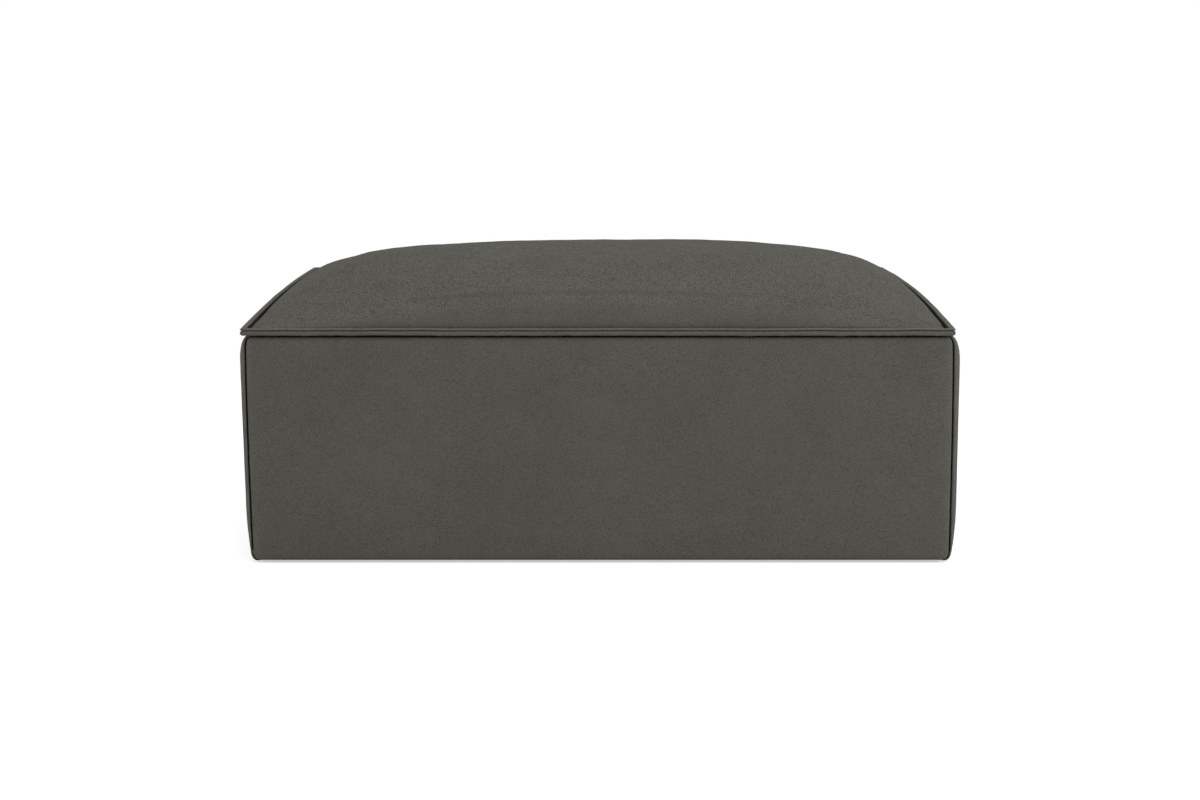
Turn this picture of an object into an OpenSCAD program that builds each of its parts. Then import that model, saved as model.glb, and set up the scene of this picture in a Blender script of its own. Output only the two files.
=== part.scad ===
/* [Base] */
// Width of the base between its front corner seams
base_w = 1042; // [840:1:1240]
// Depth of the base over its front and back covers
base_d = 752; // [600:1:900]
// Height of the base's top above the floor
base_h = 345; // [280:1:420]

/* [Upholstery] */
// Thickness of the cover cloth
cover_t = 1.5; // [1:0.1:2]
// Thickness of the thin foam under the cover
pad_t = 8; // [5:0.5:14]
// Thickness of the fibreboard behind the foam
board_t = 3; // [2:0.5:6]
// How far the side panels puff out past the corner seams
puff_out = 12; // [6:0.5:20]
// Distance from the seam over which the puff rises, measured along the side
puff_run = 27; // [15:1:40]
// Rounding of the side panels at their top edges
puff_edge = 18; // [10:1:30]
// Height over which the side panels swell out from their foot
puff_foot = 85; // [30:1:110]
// Rounding of the front and back covers at their edges, measured into the depth
panel_round = 6; // [3:0.5:7]
// Clearance between soft pieces that lie beside each other
soft_fit = 0.2; // [0.1:0.05:0.3]

/* [Frame] */
// Thickness of the rails
rail_t = 22; // [18:1:28]
// Height of the top rails
top_rail_h = 60; // [45:1:80]
// Height of the bottom rails and the stretcher
bottom_rail_h = 50; // [40:1:70]
// Width of the square posts
post_w = 45; // [38:1:60]

/* [Screws] */
// Diameter of the frame screws
screw_d = 4.5; // [3.5:0.1:5.5]
// Length of the frame screws
screw_len = 50; // [40:1:58]
// Diameter of the screw heads
head_d = 9; // [7.5:0.1:10]
// Clear height between the heads of crossing screws
screw_gap = 2; // [1:0.5:4]
// Clearance around screws, nails and staples
metal_fit = 0.05; // [0.02:0.01:0.1]

/* [Springs] */
// Diameter of the spring wire
wire_d = 3.8; // [3:0.1:4.5]
// Distance aimed at between two bars of a spring
loop_pitch = 29; // [24:1:36]
// Width of a spring over its loops
loop_w = 58; // [52:1:64]
// Thickness of the clip metal
clip_t = 1.2; // [0.8:0.1:1.6]
// Width of a clip
clip_w = 14; // [10:1:16]
// Diameter of the clip nails
clip_nail_d = 2.2; // [1.8:0.1:2.8]
// Length of the clip nails in the rail
clip_nail_len = 16; // [10:1:22]

/* [Deck] */
// Thickness of the cloth over the springs
spring_cloth_t = 0.8; // [0.5:0.1:1.5]
// Thickness of the deck pad
deck_pad_t = 11; // [8:0.5:20]
// Thickness of the deck cloth
deck_cloth_t = 1; // [0.6:0.1:1.5]

/* [Underside] */
// Height of the glides
glide_h = 5; // [4:0.5:10]
// Diameter of the glides
glide_d = 25; // [18:1:30]
// Diameter of the glide nails
glide_nail_d = 2.6; // [2:0.1:3.5]
// Length of the glide nails in the post
glide_nail_len = 18; // [12:1:26]
// Thickness of the dust cover
dust_t = 0.8; // [0.5:0.1:1.2]
// Distance of the dust cover's edge from the faces of the base
dust_inset = 6; // [4:0.5:10]
// Length of a staple's crown
staple_w = 10; // [8:0.5:12]
// Thickness of the staple wire
staple_t = 0.8; // [0.6:0.1:1]
// Length of the staple legs
staple_leg = 8; // [6:0.5:12]
// Distance aimed at between two staples
staple_pitch = 120; // [90:5:160]

/* [Cushion] */
// Overhang of the cushion's corners past the corner seams of the base
side_over = 4; // [0:0.5:10]
// Overhang of the cushion past the front and back covers
front_over = 4; // [0:0.5:10]
// How far the cushion's sides bow out half way along
side_bow = 10; // [4:0.5:14]
// Height of the rolled edges above the flange
edge_rise = 45; // [36:1:60]
// Further rise from the rolled edges to the middle of the crown
crown_rise = 38; // [20:1:50]
// Distance over which the front and back edges roll up
roll_run = 58; // [45:1:80]
// Distance over which the sides climb
side_run = 275; // [240:5:420]
// How much of the sides' climb lies near the edge, 1 is an even slope
side_power = 5; // [3:0.1:6]
// Squareness of the front and back roll, 2 is an ellipse
roll_power = 2.2; // [2:0.1:3.2]
// Squareness of the crown across the width, 2 is a parabola
width_power = 4.9; // [2:0.1:6]
// Squareness of the crown across the depth, 2 is a parabola
depth_power = 2.2; // [1.8:0.1:4]
// Share of the edge height lost at the corners
corner_drop = 0.9; // [0.5:0.05:0.9]
// Distance over which the corners are drawn down
corner_run = 245; // [120:5:280]
// How far the flange's corner tips are drawn in
corner_pull = 1.5; // [1:0.5:6]
// Width of the upper flange, the hem of the top cover
flange_w = 8; // [6:0.5:12]
// Thickness of the upper flange
flange_t = 3; // [2:0.25:4]
// Height of the rolled lower band
band_h = 6.2; // [5:0.1:8]
// Depth of the rolled lower band
band_w = 10; // [8:0.5:14]
// Thickness of the fibre wadding over the foam
wadding_t = 14; // [8:1:24]
// Thickness of the fibre sheet under the foam
base_pad_t = 3.6; // [3:0.1:8]

/* [Fastening strips] */
// Thickness of one hook or loop strip
strip_t = 1; // [0.8:0.1:1.4]
// Width of a strip
strip_w = 30; // [20:1:50]
// Length of a strip
strip_len = 300; // [160:5:400]
// Distance of the strips from the middle
strip_x = 380; // [250:1:395]
// Gap between the hooks and the loops
strip_gap = 0.3; // [0.3:0.05:0.5]

/* [Zip] */
// Length of the zip
zip_len = 640; // [400:10:760]
// Distance of the zip behind the middle
zip_y = 240; // [180:1:260]
// Width of one zip tape
tape_w = 15; // [12:0.5:18]
// Thickness of the zip tape
tape_t = 0.8; // [0.5:0.1:1]
// Width of one row of the coil
coil_w = 2.2; // [1.8:0.1:2.6]
// Height of the coil
coil_h = 1.8; // [1.6:0.1:2]
// Gap between the two rows of the coil
coil_gap = 1; // [0.8:0.1:1.2]
// Length of the slider
slider_len = 12; // [9:0.5:16]
// Width of the slider
slider_w = 8.4; // [7:0.1:9]
// Thickness of the slider's plates
slider_t = 0.6; // [0.5:0.05:0.7]
// Clearance of the slider all round
slider_fit = 0.25; // [0.2:0.05:0.3]

/* [Hidden] */

CHARCOAL = [0.32, 0.315, 0.295];
BLACK_CLOTH = [0.10, 0.10, 0.10];
WOOD = [0.76, 0.62, 0.44];
FIBREBOARD = [0.55, 0.42, 0.28];
FOAM = [0.93, 0.90, 0.78];
FIBRE = [0.95, 0.95, 0.93];
STEEL = [0.62, 0.63, 0.65];
PLASTIC = [0.07, 0.07, 0.07];

spring_count = 7;
round_fn = 48;
wire_fn = 24;
round_steps = 8;
tiny = 0.01;

// Places of the base, from the floor up and from the faces in
skin_z = glide_h + dust_t;
hem_top = skin_z + cover_t;
frame_x = base_w / 2 - cover_t - pad_t - board_t;
frame_y = base_d / 2 - cover_t - pad_t - board_t;
deck_pad_z = base_h - deck_cloth_t - deck_pad_t;
spring_cloth_z = deck_pad_z - spring_cloth_t;
clip_bore_r = wire_d / 2 + metal_fit;
clip_r = clip_bore_r + clip_t;
wire_z = spring_cloth_z - soft_fit - clip_r;
rail_top = wire_z - clip_r;
rail_mid_x = frame_x - rail_t / 2;
rail_mid_y = frame_y - rail_t / 2;
post_x = frame_x - rail_t - post_w / 2;
post_y = frame_y - rail_t - post_w / 2;
stuff_top = base_h - cover_t - soft_fit;
stuff_foot = hem_top + soft_fit;
head_h = (head_d - screw_d) / 2;

// Places of the cushion
cushion_z = base_h + 2 * strip_t + strip_gap;
band_z = cushion_z + cover_t / 2;
flange_z = band_z + band_h + 3 * soft_fit;
base_pad_z = cushion_z + cover_t + soft_fit;
foam_z = base_pad_z + base_pad_t + soft_fit;
full_rise = edge_rise + crown_rise;
crown_foot = flange_z + cover_t / 2;
crown_top = crown_foot + full_rise;
wall_in = flange_w + 1.5 * cover_t;

// Zip levels, from the bottom cover up
tape_z = cushion_z + cover_t;
coil_z = tape_z + tape_t / 2 - coil_h / 2;
slot_w = slider_w + 2 * slider_fit;

module rail_x(z, h, y_side) {
  translate([-frame_x, y_side > 0 ? frame_y - rail_t : -frame_y, z])
    cube([2 * frame_x, rail_t, h]);
}

module rail_y(z, h, x_side) {
  translate([x_side > 0 ? frame_x - rail_t : -frame_x, -frame_y + rail_t, z])
    cube([rail_t, 2 * (frame_y - rail_t), h]);
}

// A countersunk screw, or with a clearance its hole, pointing along +Z from its head
module screw(fit) {
  translate([0, 0, -fit]) {
    cylinder(h = screw_len + 2 * fit, d = screw_d + 2 * fit, $fn = round_fn);
    cylinder(h = head_h, d1 = head_d + 2 * fit, d2 = screw_d + 2 * fit, $fn = round_fn);
  }
}

// Screws in the long rails cross those in the short rails at another height
screw_step = head_d + screw_gap;
top_low = rail_top - top_rail_h / 2 - screw_step / 2;
top_high = top_low + screw_step;
bottom_low = skin_z + glide_nail_len + screw_d;
bottom_high = bottom_low + screw_step;

module screws_in_y(side, fit) {
  for (x = [-post_x, 0, post_x], z = [top_low, bottom_high])
    translate([x, side * frame_y, z])
      rotate([side * 90, 0, 0])
        screw(fit);
}

module screws_in_x(side, fit) {
  for (y = [-post_y, post_y], z = [top_high, bottom_low])
    translate([side * frame_x, y, z])
      rotate([0, -side * 90, 0])
        screw(fit);
}

module all_screws(fit) {
  for (side = [-1, 1]) {
    screws_in_y(side, fit);
    screws_in_x(side, fit);
  }
}

// Places of the glides, one under each post
module at_glides() {
  for (x = [-post_x, 0, post_x], y = [-post_y, post_y])
    translate([x, y, 0])
      children();
}

module glide_nail(fit) {
  translate([0, 0, glide_h / 2 - fit])
    cylinder(h = glide_h / 2 + dust_t + glide_nail_len + 2 * fit, d = glide_nail_d + 2 * fit,
      $fn = wire_fn);
  translate([0, 0, glide_h / 2 - 1 - fit])
    cylinder(h = 1 + fit, d = 2.4 * glide_nail_d + 2 * fit, $fn = wire_fn);
}

module glides() {
  color(PLASTIC)
    at_glides()
      difference() {
        union() {
          translate([0, 0, glide_h / 3])
            cylinder(h = glide_h * 2 / 3, d = glide_d, $fn = round_fn);
          cylinder(h = glide_h / 3, d1 = glide_d - glide_h / 2, d2 = glide_d, $fn = round_fn);
        }
        translate([0, 0, -tiny])
          cylinder(h = glide_h / 2 + tiny, d = 2.4 * glide_nail_d + 2 * metal_fit, $fn = wire_fn);
        glide_nail(metal_fit);
      }
}

module glide_nails() {
  color(STEEL)
    at_glides()
      glide_nail(0);
}

// Middle lines of the staples: along the long rails, then along the short ones
staple_run_x = 2 * (frame_x - rail_t);
staple_run_y = 2 * (frame_y - rail_t);
staples_x = floor(staple_run_x / staple_pitch);
staples_y = floor(staple_run_y / staple_pitch);

module at_staples() {
  for (i = [0 : staples_x - 1], side = [-1, 1])
    translate([(i - (staples_x - 1) / 2) * staple_run_x / staples_x, side * rail_mid_y,
      glide_h])
      children();
  for (i = [0 : staples_y - 1], side = [-1, 1])
    translate([side * rail_mid_x, (i - (staples_y - 1) / 2) * staple_run_y / staples_y,
      glide_h])
      rotate([0, 0, 90])
        children();
}

// Legs from the middle of the crown up, or with a clearance their holes
module staple_legs(fit) {
  leg_w = staple_t + 2 * fit;
  for (side = [-1, 1])
    translate([side * (staple_w - staple_t) / 2 - leg_w / 2, -leg_w / 2, -staple_t / 2])
      cube([leg_w, leg_w, staple_t / 2 + staple_leg + fit]);
}

module cover_staples() {
  color(STEEL)
    at_staples()
      union() {
        translate([-staple_w / 2, -staple_t / 2, -staple_t])
          cube([staple_w, staple_t, staple_t]);
        staple_legs(0);
      }
}

module dust_cover() {
  dust_x = base_w / 2 - dust_inset;
  dust_y = base_d / 2 - dust_inset;
  color(BLACK_CLOTH)
    difference() {
      translate([-dust_x, -dust_y, glide_h])
        cube([2 * dust_x, 2 * dust_y, dust_t]);
      at_glides()
        glide_nail(metal_fit);
      at_staples()
        staple_legs(metal_fit);
    }
}

// A post stands on the dust cover and ends level with the top rails
module post(x, y) {
  color(WOOD)
    difference() {
      translate([x - post_w / 2, y - post_w / 2, skin_z])
        cube([post_w, post_w, rail_top - skin_z]);
      translate([x, y, 0])
        glide_nail(metal_fit);
      all_screws(metal_fit);
    }
}

module long_rail(z, h, side, top) {
  color(WOOD)
    difference() {
      rail_x(z, h, side);
      screws_in_y(side, metal_fit);
      if (top)
        at_clips(side)
          clip_nail(metal_fit);
      else
        at_staples()
          staple_legs(metal_fit);
    }
}

module short_rail(z, h, side, top) {
  color(WOOD)
    difference() {
      rail_y(z, h, side);
      screws_in_x(side, metal_fit);
      if (!top)
        at_staples()
          staple_legs(metal_fit);
    }
}

module bottom_stretcher() {
  reach = post_y - post_w / 2;
  color(WOOD)
    translate([-rail_t / 2, -reach, hem_top])
      cube([rail_t, 2 * reach, bottom_rail_h]);
}

module frame_screws() {
  color(STEEL)
    all_screws(0);
}

// Wave springs run from the front rail to the back rail, with a pitch in steps of 0.02
pitch_step = 0.02;
loop_count = 2 * round(rail_mid_y / loop_pitch);
bar_pitch = floor(2 * rail_mid_y / loop_count / pitch_step) * pitch_step;
clip_y = loop_count * bar_pitch / 2;
bar_half = (loop_w - wire_d - bar_pitch) / 2;
spring_step = 2 * (frame_x - rail_t - post_w / 2) / spring_count;

function spring_x(i) = (i - (spring_count - 1) / 2) * spring_step;

module wave_spring(i) {
  color(STEEL)
    translate([spring_x(i), -clip_y, wire_z]) {
      for (k = [0 : loop_count])
        translate([0, k * bar_pitch, 0])
          rotate([0, 90, 0])
            cylinder(h = 2 * bar_half, d = wire_d, center = true, $fn = wire_fn);
      for (k = [0 : loop_count - 1])
        let (side = k % 2 == 0 ? 1 : -1)
          translate([side * bar_half, (k + 0.5) * bar_pitch, 0])
            rotate([0, 0, -side * 90])
              rotate_extrude(angle = 180, $fn = round_fn)
                translate([bar_pitch / 2, 0])
                  circle(d = wire_d, $fn = wire_fn);
    }
}

// Children are drawn at each clip, with +Y towards the middle of the base
module at_clips(side) {
  for (i = [0 : spring_count - 1])
    translate([spring_x(i), side * clip_y, rail_top])
      rotate([0, 0, side > 0 ? 180 : 0])
        children();
}

module clip_nail(fit) {
  translate([0, rail_t / 4 + clip_r / 4, 0]) {
    translate([0, 0, -clip_nail_len - fit])
      cylinder(h = clip_nail_len + clip_t + 2 * fit, d = clip_nail_d + 2 * fit, $fn = wire_fn);
    translate([0, 0, clip_t])
      cylinder(h = 1, d = 2 * clip_nail_d, $fn = wire_fn);
  }
}

module spring_clips() {
  color(STEEL)
    for (side = [-1, 1])
      at_clips(side)
        difference() {
          union() {
            translate([0, 0, clip_r])
              rotate([0, 90, 0])
                cylinder(h = clip_w, r = clip_r, center = true, $fn = round_fn);
            translate([-clip_w / 2, 0, 0])
              cube([clip_w, rail_t / 2, clip_t]);
          }
          translate([0, 0, clip_r])
            rotate([0, 90, 0])
              cylinder(h = clip_w + 1, r = clip_bore_r, center = true, $fn = round_fn);
          clip_nail(metal_fit);
        }
}

module clip_nails() {
  color(STEEL)
    for (side = [-1, 1])
      at_clips(side)
        clip_nail(0);
}

// A flat layer of the deck, inside the ring of the boards
module deck_layer(z, t) {
  x = frame_x - 2 * soft_fit;
  y = frame_y - 2 * soft_fit;
  translate([-x, -y, z])
    cube([2 * x, 2 * y, t]);
}

module spring_cloth() {
  color(BLACK_CLOTH)
    deck_layer(spring_cloth_z, spring_cloth_t);
}

module deck_pad() {
  color(FIBRE)
    deck_layer(deck_pad_z, deck_pad_t);
}

module deck_cloth() {
  color(BLACK_CLOTH)
    deck_layer(base_h - deck_cloth_t, deck_cloth_t);
}

module strip(side, z) {
  color(PLASTIC)
    translate([side * strip_x - strip_w / 2, -strip_len / 2, z])
      cube([strip_w, strip_len, strip_t]);
}

module long_board(side) {
  color(FIBREBOARD)
    translate([-frame_x, side > 0 ? frame_y : -frame_y - board_t, stuff_foot])
      cube([2 * frame_x, board_t, stuff_top - stuff_foot]);
}

module short_board(side) {
  color(FIBREBOARD)
    translate([side > 0 ? frame_x : -frame_x - board_t, -frame_y, stuff_foot])
      cube([board_t, 2 * frame_y, stuff_top - stuff_foot]);
}

// A slab with its face towards -Y at y = 0, edges rounded in steps, and a flat back at y = deep
module soft_slab(w, z_low, z_high, deep, round_w, round_out, round_top, round_foot) {
  hull()
    for (k = [0 : round_steps])
      let (
        a = 90 * k / round_steps,
        in_w = round_w * (1 - sin(a)),
        in_top = round_top * (1 - sin(a)),
        in_foot = round_foot * (1 - sin(a)),
        y = min(round_out * (1 - cos(a)), deep - tiny)
      )
        translate([in_w - w / 2, y, z_low + in_foot])
          cube([w - 2 * in_w, deep - y, z_high - z_low - in_top - in_foot]);
}

// Slab of the front cover, drawn in on all sides by inset
module front_slab(inset, deep) {
  soft_slab(base_w - 2 * inset, skin_z + inset, base_h - inset, deep,
    panel_round * 2 / 3, panel_round, panel_round * 4 / 3, panel_round * 4 / 3);
}

// Slab of a side cover, turned to face -Y and drawn in by inset
module side_slab(inset, deep) {
  soft_slab(base_d - 2 * inset, skin_z + inset, base_h - inset, deep,
    puff_run - inset, puff_out - inset, puff_edge - inset, puff_foot - inset);
}

// Puts a front piece at the front, or turns it to the back
module to_front(side) {
  rotate([0, 0, side > 0 ? 180 : 0])
    translate([0, -base_d / 2, 0])
      children();
}

// Puts a side piece at the right, or turns it to the left
module to_side(side) {
  rotate([0, 0, side * 90])
    translate([0, -base_w / 2 - puff_out, 0])
      children();
}

module long_cover(side) {
  deep = cover_t + pad_t + board_t - soft_fit;
  color(CHARCOAL)
    difference() {
      to_front(side)
        union() {
          difference() {
            front_slab(0, deep);
            translate([0, cover_t, 0])
              front_slab(cover_t, deep);
          }
          translate([-frame_x, deep - 1, skin_z])
            cube([2 * frame_x, rail_t + soft_fit + 1, cover_t]);
        }
      at_staples()
        staple_legs(metal_fit);
    }
}

module short_cover(side) {
  deep = puff_out - soft_fit;
  hem_y = frame_y - rail_t - soft_fit;
  lip_y = frame_y - soft_fit;
  color(CHARCOAL)
    difference() {
      to_side(side)
        union() {
          difference() {
            side_slab(0, deep);
            translate([0, cover_t, 0])
              side_slab(cover_t, deep);
          }
          translate([-hem_y, deep - 1, skin_z])
            cube([2 * hem_y, 1 + soft_fit + cover_t + pad_t + board_t + rail_t, cover_t]);
          translate([-lip_y, deep - 1, base_h - cover_t])
            cube([2 * lip_y, 1 + cover_t + pad_t + board_t, cover_t]);
        }
      at_staples()
        staple_legs(metal_fit);
    }
}

module long_foam(side) {
  inset = cover_t + soft_fit;
  color(FOAM)
    to_front(side)
      translate([0, inset, 0])
        front_slab(inset, pad_t - soft_fit);
}

module short_foam(side) {
  inset = cover_t + 2 * soft_fit;
  deep = puff_out - inset - soft_fit;
  bite = soft_fit / 2;
  foam_y = frame_y - 2 * soft_fit;
  color(FOAM)
    to_side(side)
      translate([0, inset, 0])
        union() {
          side_slab(inset, deep);
          translate([-foam_y, deep - bite, stuff_foot + 2 * soft_fit])
            cube([2 * foam_y, bite + soft_fit + cover_t + pad_t,
              stuff_top - stuff_foot - 3 * soft_fit]);
        }
}

// Cushion form. u and v run from -1 to 1 over its width and depth
u_steps = 12;
v_steps = 8;

function sign_of(n) = n < 0 ? -1 : 1;
function spread(n) = [for (i = [-n : n]) sign_of(i) * (1 - pow(1 - abs(i) / n, 1.8))];
us = spread(u_steps);
vs = spread(v_steps);
u_count = len(us);
v_count = len(vs);
grid_size = u_count * v_count;

half_w = base_w / 2 + side_over;
half_d = base_d / 2 + front_over;

// Share of the height reached at a distance from the front or back edge
function roll(t, run) = t >= run ? 1 : pow(1 - pow(1 - t / run, roll_power), 1 / roll_power);

// Share of the height reached at a distance from a side edge, which leaves the flange in view
function climb(t, run) = t >= run ? 1 : 1 - pow(1 - t / run, side_power);

// Share of the corner fall at a place, 1 at the tip
function corner(dx, dy) = exp(-(dx * dx + dy * dy) / (corner_run * corner_run));

// Height of the crown over its foot, as a share of its full height
function crown(u, v) =
  let (dx = (1 - abs(u)) * half_w, dy = (1 - abs(v)) * half_d)
  (edge_rise * climb(dx, side_run) * roll(dy, roll_run) * (1 - corner_drop * corner(dx, dy))
    + crown_rise * (1 - pow(abs(u), width_power)) * (1 - pow(abs(v), depth_power))) / full_rise;

// Place on the cushion's plan, drawn in from the flange's edge by inset
function plan_x(u, v, inset) =
  u * (half_w - inset + side_bow * (1 - v * v) - corner_pull * pow(abs(u * v), 60));
function plan_y(u, v, inset) = v * (half_d - inset - corner_pull * pow(abs(u * v), 60));
function plan(u, v, inset) = [plan_x(u, v, inset), plan_y(u, v, inset)];

// Points of a crowned sheet between the heights foot and top
function sheet(inset, foot, top) =
  [for (u = us, v = vs) concat(plan(u, v, inset), foot + (top - foot) * crown(u, v))];

// Steps around the edge of the sheet, counterclockwise from the front left corner
rim = concat(
  [for (i = [0 : u_count - 2]) [i, 0]],
  [for (j = [0 : v_count - 2]) [u_count - 1, j]],
  [for (i = [u_count - 1 : -1 : 1]) [i, v_count - 1]],
  [for (j = [v_count - 1 : -1 : 1]) [0, j]]
);
rim_count = len(rim);

function rim_points(inset, z) = [for (r = rim) concat(plan(us[r[0]], vs[r[1]], inset), z)];
function rim_in_sheet(first) = [for (r = rim) first + r[0] * v_count + r[1]];
function rim_in_row(first) = [for (k = [0 : rim_count - 1]) first + k];

// Triangles of a sheet that faces up, or down if flipped
function sheet_faces(first, flipped) = [
  for (i = [0 : u_count - 2], j = [0 : v_count - 2])
    let (a = first + i * v_count + j, b = a + 1, c = a + v_count + 1, d = a + v_count)
      each (flipped ? [[a, c, b], [a, d, c]] : [[a, b, c], [a, c, d]])
];

// Triangles of a strip between two rows of rim points
function strip_faces(inner, outer) = [
  for (k = [0 : rim_count - 1])
    let (n = (k + 1) % rim_count)
      each [[inner[k], inner[n], outer[n]], [inner[k], outer[n], outer[k]]]
];

// A crowned shell: an outer sheet, rows of [inset, z] around its edge, and an inner sheet
module crowned_shell(outer, rows, inner) {
  row_points = [for (r = rows) each rim_points(r[0], r[1])];
  inner_first = grid_size + len(row_points);
  loops = concat(
    [rim_in_sheet(0)],
    [for (k = [0 : len(rows) - 1]) rim_in_row(grid_size + k * rim_count)],
    [rim_in_sheet(inner_first)]
  );
  polyhedron(
    points = concat(sheet(outer[0], outer[1], outer[2]), row_points,
      sheet(inner[0], inner[1], inner[2])),
    faces = concat(
      sheet_faces(0, false),
      [for (k = [0 : len(loops) - 2]) each strip_faces(loops[k], loops[k + 1])],
      sheet_faces(inner_first, true)
    )
  );
}

// A crowned block with a flat bottom at the height z
module crowned_block(inset, foot, top, z) {
  base_row = rim_in_row(grid_size);
  middle = grid_size + rim_count;
  polyhedron(
    points = concat(sheet(inset, foot, top), rim_points(inset, z), [[0, 0, z]]),
    faces = concat(
      sheet_faces(0, false),
      strip_faces(rim_in_sheet(0), base_row),
      [for (k = [0 : rim_count - 1]) [base_row[k], base_row[(k + 1) % rim_count], middle]]
    )
  );
}

module cushion_top_cover() {
  lip = flange_t / 2;
  color(CHARCOAL)
    crowned_shell(
      [flange_w, crown_foot, crown_top],
      [
        [flange_w / 2, flange_z + flange_t],
        [lip, flange_z + flange_t],
        [0, flange_z + lip],
        [lip, flange_z]
      ],
      [wall_in, flange_z, crown_top - cover_t]
    );
}

fibre_in = wall_in + 2 * soft_fit;
fibre_foot = flange_z - soft_fit;
fibre_top = crown_top - cover_t - 2 * soft_fit;
foam_in = fibre_in + wadding_t;
foam_top = fibre_top - wadding_t;

module cushion_wadding() {
  color(FIBRE)
    crowned_shell(
      [fibre_in, fibre_foot, fibre_top],
      [[fibre_in, foam_z], [foam_in, foam_z]],
      [foam_in, foam_z + 2 * soft_fit, foam_top]
    );
}

module cushion_foam() {
  inset = foam_in + 2 * soft_fit;
  color(FOAM)
    crowned_block(inset, foam_z + soft_fit, foam_top - 2 * soft_fit, foam_z);
}

// A flat layer with the cushion's bowed outline and a slot for the zip
module cushion_layer(inset, z, t, slot) {
  difference() {
    translate([0, 0, z])
      linear_extrude(height = t)
        polygon([for (r = rim) plan(us[r[0]], vs[r[1]], inset)]);
    translate([-zip_len / 2 - slider_len, zip_y - slot / 2, z - 1])
      cube([zip_len + 2 * slider_len, slot, t + 2]);
  }
}

module cushion_bottom_cover() {
  color(CHARCOAL)
    cushion_layer(band_w + soft_fit, cushion_z, cover_t, slot_w);
}

module cushion_base_pad() {
  color(FIBRE)
    cushion_layer(fibre_in, base_pad_z, base_pad_t, 2 * tape_w + coil_gap + 1);
}

// Rolled section of the lower band: x runs inwards from the edge, y up
function band_section() = [
  for (a = [0 : 30 : 330])
    [
      band_w / 2 - band_w / 2 * sign_of(cos(a)) * pow(abs(cos(a)), 0.7),
      band_z + band_h / 2 + band_h / 2 * sign_of(sin(a)) * pow(abs(sin(a)), 0.7)
    ]
];

module long_band(side) {
  reach = half_w - corner_pull;
  color(CHARCOAL)
    rotate([0, 0, side > 0 ? 180 : 0])
      translate([-reach, -half_d, 0])
        rotate([90, 0, 90])
          linear_extrude(height = 2 * reach)
            polygon(band_section());
}

// The side band follows the bow of the cushion's side
module short_band(side) {
  section = band_section();
  n = len(section);
  steps = 14;
  reach = half_d - band_w - soft_fit;
  ys = [for (k = [0 : steps]) -reach + 2 * reach * k / steps];
  points = [
    for (y = ys, p = section)
      let (v = y / half_d)
        [half_w + side_bow * (1 - v * v) - p[0], y, p[1]]
  ];
  sides = [
    for (k = [0 : steps - 1], i = [0 : n - 1])
      let (a = k * n + i, b = k * n + (i + 1) % n)
        each [[a, b, b + n], [a, b + n, a + n]]
  ];
  ends = [
    for (i = [1 : n - 2])
      each [[0, i + 1, i], [steps * n, steps * n + i, steps * n + i + 1]]
  ];
  color(CHARCOAL)
    mirror([side > 0 ? 0 : 1, 0, 0])
      polyhedron(points = points, faces = concat(sides, ends));
}

module zip_stringers() {
  color(PLASTIC)
    for (side = [-1, 1])
      translate([0, zip_y, 0])
        mirror([0, side > 0 ? 0 : 1, 0])
          union() {
            translate([-zip_len / 2 - slider_len, coil_gap / 2, tape_z])
              cube([zip_len + 2 * slider_len, tape_w, tape_t]);
            translate([-zip_len / 2, coil_gap / 2, coil_z])
              cube([zip_len, coil_w, coil_h]);
          }
}

// The slider stands at the closed end, on the right
module zip_slider() {
  web = coil_gap - 2 * slider_fit;
  low = coil_z - slider_fit - slider_t;
  tall = coil_h + 2 * slider_fit + 2 * slider_t;
  color(STEEL)
    translate([zip_len / 2 - slider_len, zip_y, low])
      union() {
        translate([0, -slider_w / 2, 0])
          cube([slider_len, slider_w, slider_t]);
        translate([0, -slider_w / 2, tall - slider_t])
          cube([slider_len, slider_w, slider_t]);
        translate([slider_len / 4, -web / 2, 0])
          cube([slider_len / 2, web, tall]);
      }
}

glides();
glide_nails();
dust_cover();
cover_staples();
post(-post_x, -post_y);  // post_front_left
post(post_x, -post_y);  // post_front_right
post(-post_x, post_y);  // post_back_left
post(post_x, post_y);  // post_back_right
post(0, -post_y);  // centre_post_front
post(0, post_y);  // centre_post_back
long_rail(hem_top, bottom_rail_h, -1, false);  // bottom_rail_front
long_rail(hem_top, bottom_rail_h, 1, false);  // bottom_rail_back
short_rail(hem_top, bottom_rail_h, -1, false);  // bottom_rail_left
short_rail(hem_top, bottom_rail_h, 1, false);  // bottom_rail_right
long_rail(rail_top - top_rail_h, top_rail_h, -1, true);  // top_rail_front
long_rail(rail_top - top_rail_h, top_rail_h, 1, true);  // top_rail_back
short_rail(rail_top - top_rail_h, top_rail_h, -1, true);  // top_rail_left
short_rail(rail_top - top_rail_h, top_rail_h, 1, true);  // top_rail_right
bottom_stretcher();
frame_screws();
wave_spring(0);  // wave_spring_1
wave_spring(1);  // wave_spring_2
wave_spring(2);  // wave_spring_3
wave_spring(3);  // wave_spring_4
wave_spring(4);  // wave_spring_5
wave_spring(5);  // wave_spring_6
wave_spring(6);  // wave_spring_7
spring_clips();
clip_nails();
spring_cloth();
deck_pad();
deck_cloth();
strip(-1, base_h);  // loop_strip_left
strip(1, base_h);  // loop_strip_right
long_board(-1);  // front_board
long_board(1);  // back_board
short_board(-1);  // left_board
short_board(1);  // right_board
long_foam(-1);  // front_foam
long_foam(1);  // back_foam
short_foam(-1);  // left_foam
short_foam(1);  // right_foam
long_cover(-1);  // front_cover
long_cover(1);  // back_cover
short_cover(-1);  // left_cover
short_cover(1);  // right_cover
cushion_top_cover();
cushion_bottom_cover();
long_band(-1);  // cushion_band_front
long_band(1);  // cushion_band_back
short_band(-1);  // cushion_band_left
short_band(1);  // cushion_band_right
cushion_wadding();
cushion_base_pad();
cushion_foam();
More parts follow.
